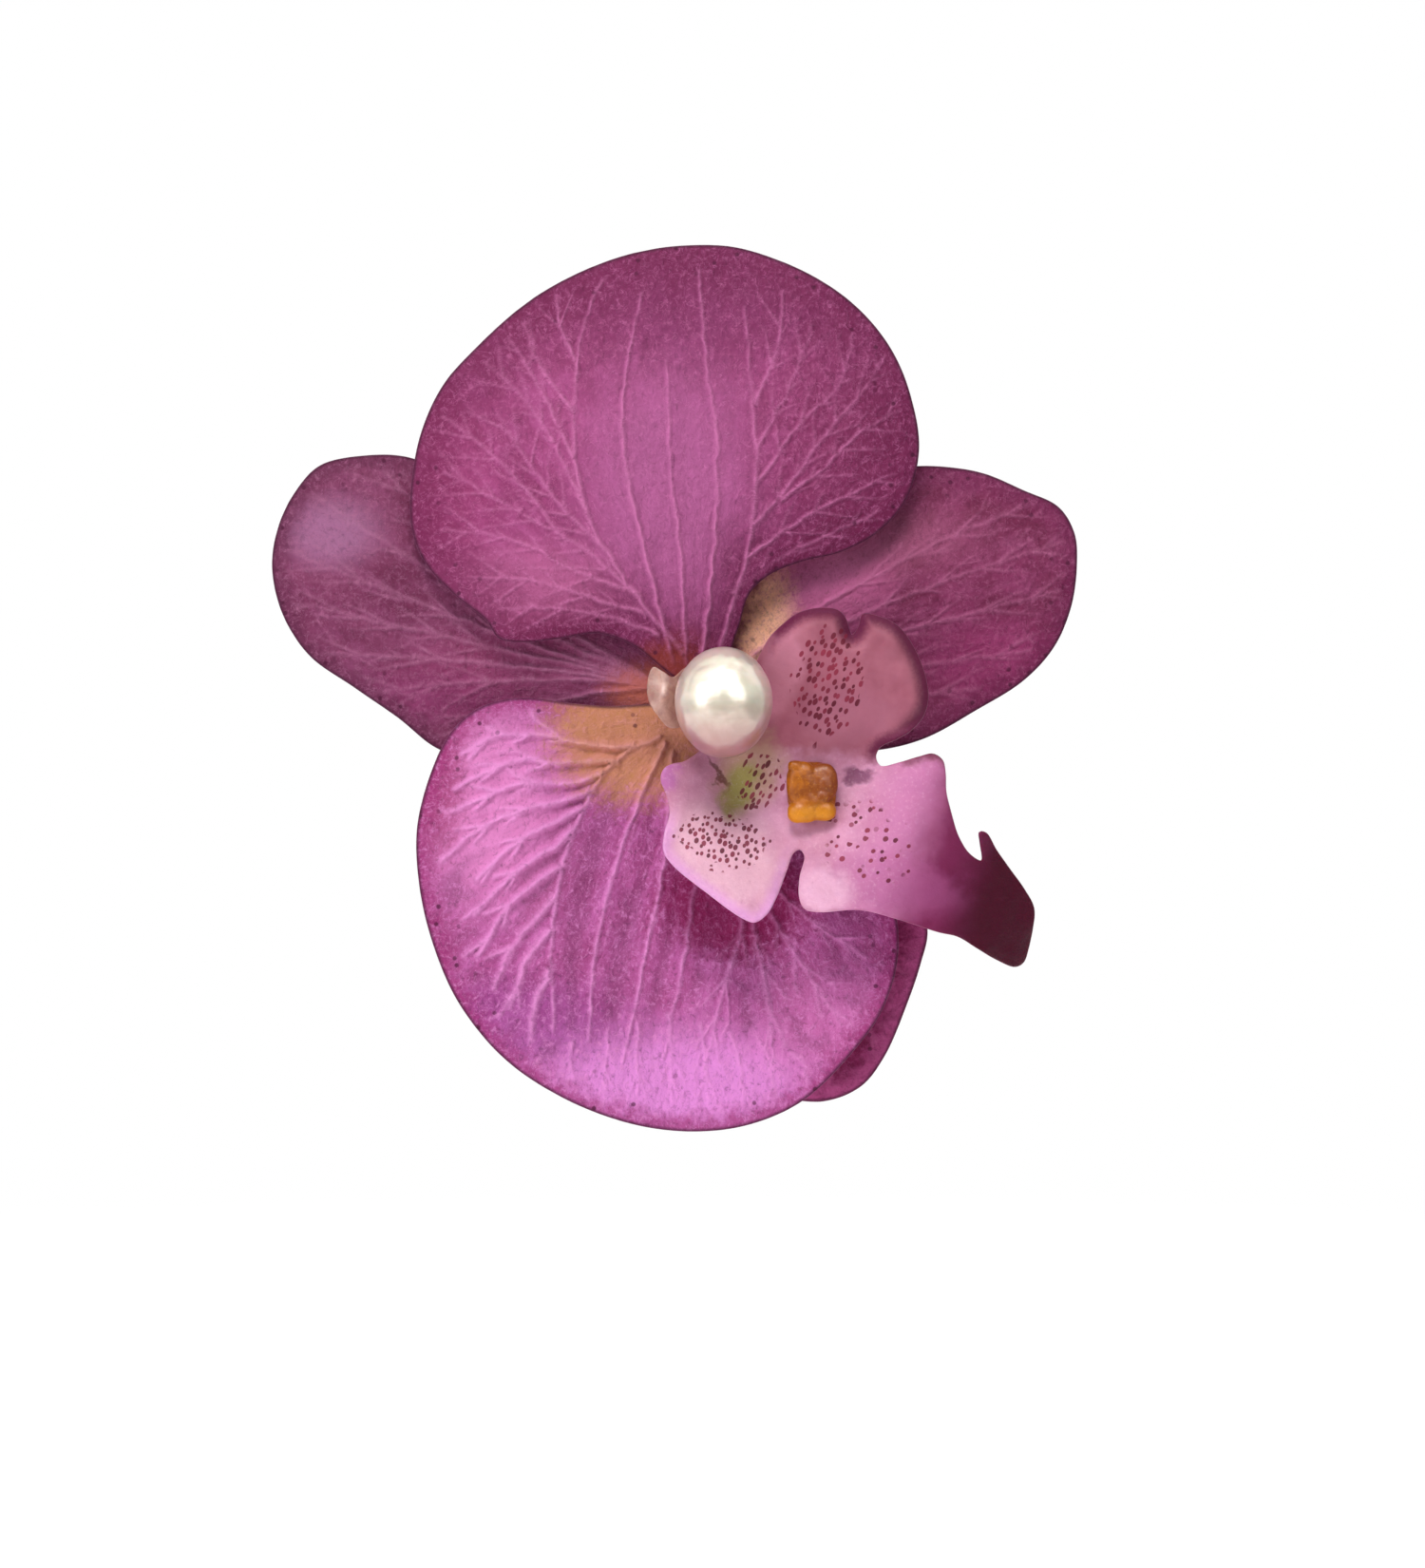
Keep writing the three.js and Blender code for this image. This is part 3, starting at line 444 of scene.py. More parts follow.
def petal(name, shape, veins=None, *, seed, cells=130, thick=0.42, edge=0.2, relief=1.0, quilt=0.12,
          wave=0.0, claw=(0, 0), fine=1.0):
    """A thin pressed petal: a fine front skin and a coarser back skin that share the embossed veins, and a
    rounded cut edge between them. cells is the back's; the front has twice as many. relief scales the ridges,
    quilt is how deep the cloth sinks between them, and wave is the waviness of the rim."""
    blade = Blade(shape)
    tree = Veins(blade.inside, seed)
    if veins:
        veins(tree)
    surface = surface_through(shape["landmarks"])
    lean = math.atan2(blade.centre[1] - claw[1], blade.centre[0] - claw[0])

    def skin(count, side):
        r, angle = disc_grid(count)
        far = blade.reach(angle)
        x, z = blade.centre[0] + r * far * np.cos(angle), blade.centre[1] + r * far * np.sin(angle)
        rim = (1 - r) * far
        forward = surface(x, z)
        vein, valley = np.zeros_like(x), np.zeros_like(x)
        if veins:
            d, wide, high = (v.reshape(x.shape) for v in tree.near(x.ravel(), z.ravel()))
            fade = step(0.4, 3.5, rim)
            ridge = np.exp(-(d / wide) ** 2)
            groove = np.exp(-(d / (wide * 2.8)) ** 2) - ridge
            valley = fade * (1 - np.exp(-(d / 1.5) ** 2))
            vein = ridge * np.clip(high / 0.3, 0, 1) * step(0.1, 2.0, rim)
            forward = forward + relief * fade * high * (ridge - 0.4 * groove) - quilt * valley
        forward = forward + fine * (0.06 * ripple(x, z, 0.9, seed + 50) + 0.1 * ripple(x, z, 3.0, seed + 51))
        if wave:
            forward = forward + wave * step(6.0, 0.0, rim) * ripple(x, z, 7.0, seed + 52, 1)
        half = (edge + (thick - edge) * step(0.0, 1.6, rim)) / 2
        turn = (np.arctan2(z - claw[1], x - claw[0]) - lean + math.pi) % (2 * math.pi) - math.pi
        marks = dict(vein=vein, valley=valley, rim=rim, px=x, pz=z, fan=turn,
                     far=np.hypot(x - claw[0], z - claw[1]))
        points = np.stack([x, -(forward + side * half), z], -1).reshape(-1, 3)
        return points, {k: v.ravel() for k, v in marks.items()}, angle.ravel()

    front, marks, angle = skin(2 * cells, 1)
    back, back_marks, _ = skin(cells, -1)
    ring, back_ring = grid_rim(2 * cells + 1), grid_rim(cells + 1)
    near_back = np.repeat(back[back_ring], 2, axis=0)
    near_back[1::2] = (near_back[::2] + np.roll(near_back[::2], -1, axis=0)) / 2
    middle = edge_middle(front[ring], near_back, np.cos(angle[ring]), np.sin(angle[ring]), 0.06)
    behind = len(front)
    faces = grid_faces(2 * cells + 1, 0) + grid_faces(cells + 1, behind, flip=True)
    faces += edge_band(ring, [behind + k for k in back_ring], behind + len(back))
    obj = closed_mesh(name, np.vstack([front, back, middle]), faces)
    store(obj, back=np.repeat([0, 1, 0.5], [len(front), len(back), len(middle)]),
          **{k: np.concatenate([v, back_marks[k], v[ring]]) for k, v in marks.items()})
    stand_in(obj, shape["node"])
    lay_flat(blade.rim)
    return obj


def signed_area(line):
    """The area inside a closed line, negative where the line runs clockwise."""
    following = np.roll(line, -1, axis=0)
    return np.sum(line[:, 0] * following[:, 1] - following[:, 0] * line[:, 1]) / 2


def lay_flat(rim):
    """Works out the box and the area of a petal's outline, and compares its narrower side with
    SMALLEST_SHEET; nothing uses the results.
    """
    size, area = (rim.max(axis=0) - rim.min(axis=0)) * MM, abs(signed_area(rim))
    min(size) > SMALLEST_SHEET * MM


def make_lip():
    """The lip: its outline filled with an even net of points, raised to its surface, with a rounded edge."""
    spacing, row_share, thick, edge = 0.27, 0.866, 0.5, 0.26
    line = fitted(LIP)
    closed = np.vstack([line, line[:1]])
    span = np.r_[0, np.cumsum(np.linalg.norm(np.diff(closed, axis=0), axis=1))]
    count = int(span[-1] / spacing)
    along = np.arange(count) * span[-1] / count
    rim_points = np.stack([np.interp(along, span, closed[:, 0]), np.interp(along, span, closed[:, 1])], 1)
    low, high = rim_points.min(axis=0), rim_points.max(axis=0)
    rows = np.arange(low[1], high[1], spacing * row_share)
    net = np.array([(x + (spacing / 2 if k % 2 else 0), z)
                    for k, z in enumerate(rows) for x in np.arange(low[0], high[0], spacing)])
    net = net[inside_of(net, rim_points)]
    net = net[edge_distance(net, rim_points) > spacing * 0.55]
    loop = [(k, (k + 1) % count) for k in range(count)]
    flat = [Vector(p) for p in np.vstack([rim_points, net])]
    co, _, faces, origin, _, _ = geometry.delaunay_2d_cdt(flat, loop, [], 1, 1e-6)
    p = np.array([(v[0], v[1]) for v in co])
    x, z = p[:, 0], p[:, 1]
    first = {o: i for i, group in enumerate(origin) for o in group}
    ring = [first[k] for k in range(count)]
    rim = edge_distance(p, rim_points)
    upper = step(-4, -1, z) * step(5.5, 8, x)
    forward = surface_through(LIP["landmarks"])(x, z)
    forward = forward - 1.3 * upper * (1 - step(0.0, 2.2, rim)) ** 2
    forward = forward + (0.35 - 0.5 * upper) * (1 - step(0, 2.6, rim)) * ripple(x, z, 3.6, 5, 1)
    forward = forward + 0.05 * ripple(x, z, 1.0, 8) + 0.12 * ripple(x, z, 3.2, 9)
    half = (edge + (thick - edge) * step(0.0, 1.2, rim)) / 2
    front, back = (np.stack([x, -(forward + side * half), z], 1) for side in (1, -1))
    ahead, behind = np.roll(rim_points, -1, axis=0), np.roll(rim_points, 1, axis=0)
    out = np.stack([(ahead - behind)[:, 1], -(ahead - behind)[:, 0]], 1)
    out /= np.linalg.norm(out, axis=1, keepdims=True)
    if signed_area(rim_points) < 0:
        out = -out
    middle = edge_middle(front[ring], back[ring], out[:, 0], out[:, 1], 0.07)
    n = len(p)
    made = [tuple(f) for f in faces] + [tuple(n + i for i in reversed(f)) for f in faces]
    made += edge_band(ring, [n + k for k in ring], 2 * n)
    obj = closed_mesh("lip_cloth", np.vstack([front, back, middle]), made)
    speck, su, sv = lip_spots(x, z)
    marks = dict(rim=rim, px=x, pz=z, speck=speck, su=su, sv=sv)
    store(obj, back=np.repeat([0, 1, 0.5], [n, n, count]),
          **{k: np.concatenate([v, v, v[ring]]) for k, v in marks.items()})
    stand_in(obj, LIP["node"])
    lay_flat(rim_points)
    return obj


def inside_of(points, line):
    """Which points lie inside a closed line, by counting crossings."""
    x, z = points[:, 0], points[:, 1]
    within = np.zeros(len(points), bool)
    for (ax, az), (bx, bz) in zip(line, np.roll(line, -1, axis=0)):
        if az != bz:
            within ^= ((az > z) != (bz > z)) & (x < (bx - ax) * (z - az) / (bz - az) + ax)
    return within


def edge_distance(points, line):
    """Distance from each point to a closed line."""
    best = np.full(len(points), 1e9)
    for a, b in zip(line, np.roll(line, -1, axis=0)):
        e = b - a
        t = np.clip(((points - a) @ e) / max(e @ e, 1e-12), 0, 1)
        best = np.minimum(best, np.linalg.norm(points - a - t[:, None] * e, axis=1))
    return best


# Spotted areas of the lip: centre, half sizes, tilt and how thick with spots, and the spots' length, lean and
# spacing.
SPOTTED = [
    dict(centre=(13.0, 1.8), half=(4.0, 6.2), tilt=-10, size=1.25, long=1.6, turn=62, gap=0.6),
    dict(centre=(6.3, -8.0), half=(2.5, 3.2), tilt=-20, size=1.15, long=2.0, turn=60, gap=0.56),
    dict(centre=(2.4, -13.8), half=(5.2, 2.9), tilt=-14, size=1.1, long=1.25, turn=70, gap=0.58),
    dict(centre=(16.0, -13.6), half=(7.5, 4.2), tilt=-32, size=0.42, long=1.2, turn=40, gap=0.64),
]


def turned(dx, dz, degrees):
    """An offset measured along axes that are turned by an angle."""
    c, s = math.cos(math.radians(degrees)), math.sin(math.radians(degrees))
    return dx * c + dz * s, dz * c - dx * s


def lip_spots(x, z):
    """How strongly each point of the lip is spotted, and its place in the pattern of spots."""
    speck, su, sv = np.zeros_like(x), np.zeros_like(x), np.zeros_like(x)
    for k, area in enumerate(SPOTTED):
        dx, dz = x - area["centre"][0], z - area["centre"][1]
        u, v = turned(dx, dz, area["tilt"])
        across = np.hypot(u / area["half"][0], v / area["half"][1]) + 0.1 * ripple(x, z, 1.7, 30 + k, 1)
        strength = area["size"] * step(1.12, 0.55, across)
        u, v = turned(dx, dz, area["turn"])
        here = strength > speck
        su = np.where(here, u / area["gap"] / area["long"] + 31 * k, su)
        sv = np.where(here, v / area["gap"], sv)
        speck = np.maximum(speck, strength)
    return speck, su, sv


# ------------------------------------------------------------------ the other pieces
def lathe(name, node, profile, uneven):
    """A solid turned about the Y axis and fitted to its CAD node's box. profile is (radius share, forward
    share)."""
    turns, seed = 96, 60
    low, high = box_mm(node)
    centre, radius = (low + high) / 2, (high - low) / 2
    line = smooth_line(profile, 6, closed=False)
    r, f = np.clip(line[:, 0], 0, None), line[:, 1]
    rr, aa = np.meshgrid(r, np.arange(turns) * 2 * math.pi / turns, indexing="ij")
    y = (high[1] - f * (high[1] - low[1]))[:, None] + np.zeros_like(aa)
    bump = 1 + uneven * ripple(aa * 3 + 40, y * 0.8 + 20, 1.0, seed, 1) * step(0.0, 0.15, rr)
    x = centre[0] + radius[0] * rr * bump * np.cos(aa)
    z = centre[2] + radius[2] * rr * bump * np.sin(aa)
    last = (len(line) - 1) * turns
    ends = [tuple(range(turns)), tuple(range(last, last + turns))]
    points = np.stack([x, y, z], -1).reshape(-1, 3)
    return stand_in(closed_mesh(name, points, tube_faces(len(line), turns) + ends), node)


def softened(name, node, voxel, rounds, lumps, size, seed=70, source=None):
    """A copy of a CAD node, or of source, with its facets melted away and a lumpy, hand-made surface."""
    obj = link(name, source or frame["nodes"][node].data.copy())
    remesh = obj.modifiers.new("Remesh", "REMESH")
    remesh.mode = "VOXEL"
    remesh.voxel_size = voxel * MM
    smooth = obj.modifiers.new("Smooth", "SMOOTH")
    smooth.factor, smooth.iterations = 0.6, rounds
    mesh = bpy.data.meshes.new_from_object(obj.evaluated_get(bpy.context.evaluated_depsgraph_get()))
    obj.modifiers.clear()
    obj.data = mesh
    mesh.name = name
    co, normal = np.zeros(len(mesh.vertices) * 3), np.zeros(len(mesh.vertices) * 3)
    mesh.vertices.foreach_get("co", co)
    mesh.vertices.foreach_get("normal", normal)
    p = co.reshape(-1, 3) / MM
    uneven = lumps * ripple(p[:, 0] + 0.7 * p[:, 1], p[:, 2] - 0.6 * p[:, 1], size, seed)
    mesh.vertices.foreach_set("co", ((p + normal.reshape(-1, 3) * uneven[:, None]) * MM).ravel())
    shade_smooth(mesh)
    mesh.update()
    return stand_in(obj, node)


def make_pearl():
    """A drop-shaped freshwater pearl: slightly uneven, with faint growth rings."""
    low, high = (Vector(corner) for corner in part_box("pearl"))
    centre, radius = (low + high) / 2, (high - low) / 2
    bm = bmesh.new()
    bmesh.ops.create_icosphere(bm, subdivisions=6, radius=1)
    c, s = math.cos(math.radians(4)), math.sin(math.radians(4))
    for v in bm.verts:
        x, y, z = v.co
        swell = 1 + 0.018 * math.sin(2.1 * z + 0.6) - 0.012 * math.exp(-((z - 0.62) / 0.07) ** 2)
        swell += 0.006 * math.sin(3 * math.atan2(x, y) + 1.3) * (1 - abs(z))
        x, z = x * swell * c + z * s, z * c - x * s
        v.co = Vector((x * radius.x, y * swell * radius.y, z * radius.z)) * 0.985 + centre
    mesh = bpy.data.meshes.new("pearl_bead")
    bm.to_mesh(mesh)
    bm.free()
    shade_smooth(mesh)
    return stand_in(link("pearl_bead", mesh), "pearl")


def make_callus():
    """The callus: one knobbly block, rounded and uneven, with a lower roll across it."""
    lumps = [  # x, z, forward and the half sizes along each
        (11.4, -8.9, 13.5, 2.5, 3.0, 0.9), (10.4, -8.2, 14.0, 1.6, 2.3, 1.05),
        (12.5, -8.0, 13.85, 1.5, 1.9, 1.0), (11.5, -8.7, 13.95, 1.3, 1.5, 0.95),
        (10.5, -11.0, 14.15, 1.6, 1.1, 1.0), (12.5, -10.9, 14.0, 1.35, 1.0, 0.95),
        (11.2, -10.0, 14.1, 1.6, 0.9, 0.95), (9.7, -6.4, 14.2, 0.75, 0.6, 0.8)]
    rng = random.Random(7)
    for k in range(6):
        size, x, z = rng.uniform(0.5, 0.85), rng.uniform(9.8, 13.0), rng.uniform(-9.8, -7.0)
        lumps.append((x, z, 14.6, size, size * rng.uniform(0.9, 1.4), 0.42))
    bm = bmesh.new()
    for x, z, forward, wide, tall, deep in lumps:
        for v in bmesh.ops.create_icosphere(bm, subdivisions=4, radius=1)["verts"]:
            p = Vector([math.copysign(abs(c) ** 0.78, c) for c in v.co])
            v.co = Vector((x + p.x * wide, -forward + p.y * deep, z + p.z * tall)) * MM
    rough = bpy.data.meshes.new("rough")
    bm.to_mesh(rough)
    bm.free()
    return softened("callus_lumps", "callus", 0.1, 9, lumps=0.05, size=1.1, source=rough)


def make_felt():
    """The felt disc behind the flower: a napped surface and a scissored edge that isn't quite round."""
    low, high = box_mm("felt_pad")
    centre, radius = (low + high) / 2, (high[0] - low[0]) / 2
    cells = 170
    n = cells + 1        # points across the disc
    r, angle = disc_grid(cells)
    cut = radius * (1 + 0.006 * np.sin(5 * angle + 1) + 0.004 * np.sin(11 * angle))
    x, z = centre[0] + r * cut * np.cos(angle), centre[2] + r * cut * np.sin(angle)
    half = (high[1] - low[1]) / 2 * np.where(r > 0.97, 1 - 0.35 * ((r - 0.97) / 0.03) ** 2, 1) - 0.06

    def skin(side, seed):
        nap = 0.05 * ripple(x, z, 0.7, seed) + 0.05 * ripple(x, z, 2.5, seed + 1)
        return np.stack([x, centre[1] - side * (half + nap), z], -1).reshape(-1, 3)

    front, back = skin(1, 81), skin(-1, 84)
    ring, total = grid_rim(n), n * n
    round_edge = angle.ravel()[ring]
    middle = edge_middle(front[ring], back[ring], np.cos(round_edge), np.sin(round_edge), 0.12)
    faces = grid_faces(n, 0) + [(a, d, c, b) for a, b, c, d in grid_faces(n, total)]
    faces += edge_band(ring, [total + k for k in ring], 2 * total)
    obj = stand_in(closed_mesh("felt_backing", np.vstack([front, back, middle]), faces), "felt_pad")
    return obj


def make_spring():
    """The torsion spring: a round wire wound about the pin, with one arm pressing on each jaw."""
    coil, wire, turns, half, arm = 1.4, 0.3, 5.5, 2.6, 7.5
    hinge = frame["joints"][0]["pos_m"][2] / MM
    sides, arm_steps, coil_steps = 14, 12, 150
    path = [(-half, -coil, hinge + arm - k * arm / arm_steps) for k in range(arm_steps)]
    for k in range(coil_steps + 1):
        a = 2 * math.pi * turns * k / coil_steps
        path.append((-half + 2 * half * k / coil_steps, -coil * math.cos(a), hinge - coil * math.sin(a)))
    path += [(half, coil, hinge + (k + 1) * arm / arm_steps) for k in range(arm_steps)]
    path = np.array(path)
    ahead = np.gradient(path, axis=0)
    ahead /= np.linalg.norm(ahead, axis=1, keepdims=True)
    points = []
    up = np.cross(ahead[0], (1, 0, 0))
    for p, t in zip(path, ahead):
        up = up - t * (up @ t)
        up /= np.linalg.norm(up)
        other = np.cross(t, up)
        for j in range(sides):
            a = 2 * math.pi * j / sides
            points.append(p + wire * (math.cos(a) * up + math.sin(a) * other))
    faces = tube_faces(len(path), sides)
    for end, chamfer in ((0, 0.08), (len(path) - 1, -0.08)):
        ring = [end * sides + j for j in range(sides)]
        cap = len(points)
        points += [path[end] - ahead[end] * chamfer + (points[i] - path[end]) * 0.75 for i in ring]
        faces += [(ring[j], ring[(j + 1) % sides], cap + (j + 1) % sides, cap + j) for j in range(sides)]
        faces.append(tuple(range(cap, cap + sides)))
    obj = closed_mesh("spring_wire", points, faces)
    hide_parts("torsion_spring")
    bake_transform(obj)
    return obj


def keep_node(node, look, bevel=0.12):
    """A CAD node that shows as it is, with its edges rounded and a material of its own."""
    obj = frame["nodes"][node]
    soft = obj.modifiers.new("Bevel", "BEVEL")
    soft.width, soft.segments, soft.limit_method = bevel * MM, 2, "ANGLE"
    soft.angle_limit = math.radians(40)
    soft.harden_normals = True
    shade_smooth(obj.data)
    obj.data.materials.clear()
    obj.data.materials.append(look.material)


# ------------------------------------------------------------------ materials
def srgb(r, g, b):
    """A colour given as 0 to 255 on screen, as the linear colour that a shader takes."""
    shares = (c / 255 for c in (r, g, b))
    return (*(c / 12.92 if c <= 0.04045 else ((c + 0.055) / 1.055) ** 2.4 for c in shares), 1)


def shade(colour, factor, more=0):
    """A darker or lighter kind of a colour."""
    return tuple(min(255, c * factor + more) for c in colour)


class Value:
    """An output of a node. Arithmetic with it adds more nodes."""

    def __init__(self, graph, socket):
        self.graph, self.socket = graph, socket

    def __add__(self, other):
        return self.graph.math("ADD", self, other)

    def __sub__(self, other):
        return self.graph.math("SUBTRACT", self, other)

    def __mul__(self, other):
        return self.graph.math("MULTIPLY", self, other)

    def __truediv__(self, other):
        return self.graph.math("DIVIDE", self, other)

    def part(self, which):
        """One number of a vector or a colour: 0, 1 or 2."""
        return self.graph.add("SeparateXYZ", which, {0: self})

    def span(self, low, high, to_low=0.0, to_high=1.0):
        """Maps low..high to to_low..to_high, smoothly and without going past the ends."""
        ends = {"From Min": low, "From Max": high, "To Min": to_low, "To Max": to_high}
        return self.graph.add("MapRange", "Result", {"Value": self, **ends}, interpolation_type="SMOOTHSTEP")

    def stretched(self, x, y, z):
        """A vector or a number, multiplied along each axis."""
        return self.graph.mix(1.0, self, (x, y, z, 1), "MULTIPLY")


class Graph:
    """A node tree. Its methods add nodes and return their outputs as values."""

    def __init__(self, tree):
        self.tree = tree

    def add(self, kind, output, inputs, **settings):
        """A node of one kind, with its inputs fed by name or number. Returns one of its outputs."""
        node = self.tree.nodes.new("ShaderNode" + kind)
        for key, value in settings.items():
            setattr(node, key, value)
        for key, value in inputs.items():
            self.feed(node.inputs[key], value)
        return Value(self, node.outputs[output])

    def feed(self, socket, value):
        if isinstance(value, Value):
            self.tree.links.new(value.socket, socket)
        else:
            socket.default_value = value

    def math(self, operation, a, b=0.0):
        return self.add("Math", 0, {0: a, 1: b}, operation=operation)

    def length(self, a, b):
        return self.math("SQRT", a * a + b * b)

    def attr(self, name):
        return self.add("Attribute", "Fac", {}, attribute_name=name)

    def place(self):
        """Position in the part, in millimetres."""
        here = self.add("TexCoord", "Object", {})
        return self.add("VectorMath", 0, {0: here, "Scale": 1 / MM}, operation="SCALE")

    def vector(self, x, y):
        return self.add("CombineXYZ", 0, {0: x, 1: y})

    def noise(self, vector, scale, detail=3.0, rough=0.55, distort=0.0):
        return self.add("TexNoise", "Fac", {"Vector": vector, "Scale": scale, "Detail": detail,
                                            "Roughness": rough, "Distortion": distort})

    def cells(self, vector, scale, feature="F1", randomness=1.0, flat=False):
        """Distance to the nearest of many seeded points, and a random colour that belongs to that point."""
        distance = self.add("TexVoronoi", 0, {"Vector": vector, "Scale": scale, "Randomness": randomness},
                            feature=feature, voronoi_dimensions="2D" if flat else "3D")
        return distance, Value(self, distance.socket.node.outputs[1])

    def mix(self, share, a, b, blend="MIX"):
        return self.add("Mix", 2, {0: share, 6: a, 7: b}, data_type="RGBA", blend_type=blend)

    def either(self, share, a, b):
        """The shader a where share is 0, and b where it is 1."""
        return self.add("MixShader", 0, {0: share, 1: a, 2: b})


class Look(Graph):
    """A procedural material. Its colour is laid on in coats, all given as 0 to 255 on screen."""

    def __init__(self, name, **sockets):
        self.material = bpy.data.materials.new(name)
        self.material.use_nodes = True
        super().__init__(self.material.node_tree)
        self.shader = self.tree.nodes["Principled BSDF"]
        for key, value in sockets.items():
            self.shader.inputs[key.replace("_", " ").title().replace("Ior", "IOR")].default_value = value

    def base(self, share, a, b):
        self.colour = self.mix(share, srgb(*a), srgb(*b))

    def coat(self, colour, share):
        self.colour = self.mix(share, self.colour, srgb(*colour))

    def finish(self, rough, *layers):
        """Feeds the shader. layers are bumps, from coarse to fine: height, strength, distance in metres."""
        self.feed(self.shader.inputs["Base Color"], self.colour)
        self.feed(self.shader.inputs["Roughness"], rough)
        below = {}
        for height, strength, distance in layers:
            bump = {"Height": height, "Strength": strength, "Distance": distance}
            below = {"Normal": self.add("Bump", 0, {**bump, **below})}
            self.feed(self.shader.inputs["Normal"], below["Normal"])
        return self

    def wear(self, obj, slot):
        obj.data.materials.clear()
        obj.data.materials.append(self.material)


def petal_look(name, deep, mid, light, vein, margin, patches=(), over=(), vein_share=0.78, speckle=0.4,
               margin_width=3.0, valley=0.0):
    """Pressed fabric: mottled dyed colour that fans out from the claw, paler veins, a darker margin and fine
    fibres. patches are (colour, x, z, half width, half height, strength, softness) areas of colour, dyed
    ones and in places painted light and shade, and over more of them that lie above the veins. valley
    darkens the valleys between the veins, as painted shade."""
    look = Look(name, Sheen_Weight=0.04, Sheen_Roughness=0.4, Sheen_Tint=srgb(255, 190, 235),
                Specular_IOR_Level=0.1)
    x, z, rim, fan, far = (look.attr(key) for key in ("px", "pz", "rim", "fan", "far"))
    flat = look.vector(x, z)
    cloud = look.noise(flat, 0.13, 3, 0.6)
    streak = look.noise(look.vector(fan * 15.0, far * 0.16), 1.0, 5, 0.65)
    grain = look.noise(flat, 1.5, 4, 0.68, 0.5)
    crepe = look.noise(look.vector(x, z * 0.55), 2.6, 3, 0.6, 0.8)
    tuft = look.noise(look.vector(fan * 42.0, far * 0.75), 1.0, 4, 0.7, 0.5)
    crinkle = look.math("ABSOLUTE", look.noise(flat, 0.75, 3, 0.62, 1.2) - 0.5).span(0.028, 0.0)

    # Lays areas of colour: dyed ones, and painted light and shade where a patch stands for it.
    def dye_and_painted_shading(areas):
        for tint, cx, cz, wide, tall, strength, *soft in areas:
            blur = soft[0] if soft else 0.5
            d = look.length((x - cx) / wide, (z - cz) / tall) + (grain - 0.5) * 0.7
            look.coat(tint, d.span(0.82 + blur, 0.82 - blur, 0.0, strength))

    look.base(cloud.span(0.35, 0.65), deep, mid)
    look.coat(light, streak.span(0.42, 0.7, 0.0, 0.7))
    dye_and_painted_shading(patches)
    # Painted shade: darker in the valleys between the veins, as much as valley says.
    look.coat(shade(deep, 0.72), look.attr("valley").span(0.25, 1.0, 0.0, valley))
    ragged = rim + (look.noise(flat, 0.7, 4, 0.7) - 0.5) * 5.0
    look.coat(margin, ragged.span(margin_width, 0.0, 0.0, 0.8))
    for tint, pattern, low, high, share in (
            (shade(deep, 0.6), grain, 0.46, 0.3, 1.0), (shade(deep, 0.7), crepe, 0.48, 0.3, 0.6),
            (vein, grain, 0.53, 0.7, 1.0), (vein, crepe, 0.54, 0.72, 0.6), (vein, tuft, 0.55, 0.8, 0.9)):
        look.coat(tint, pattern.span(low, high, 0.0, speckle * share))
    look.coat(vein, crinkle * tuft.span(0.35, 0.6, 0.0, 0.4))
    look.coat(shade(vein, 1, 14), look.attr("vein") * grain.span(0.25, 0.6, 0.55, 1.0) * vein_share)
    dye_and_painted_shading(over)
    distance, chance = look.cells(flat, 0.5, flat=True)
    near = (distance + grain * 0.1).span(0.2, 0.12)
    look.coat((66, 8, 42), near * chance.part(0).span(0.66, 0.7) * rim.span(5.5, 1.0, 0.0, 0.8))
    look.coat((62, 18, 44), rim.span(0.4, 0.02, 0.0, 0.8))
    look.coat((176, 104, 146), look.attr("back") * 0.45)
    return look.finish(grain.span(0.3, 0.7, 0.62, 0.44), (streak, 0.4, 0.0003), (tuft, 0.5, 0.0003),
                       (crinkle, 0.4, 0.00012), (crepe, 0.6, 0.0002), (grain, 0.6, 0.0002))


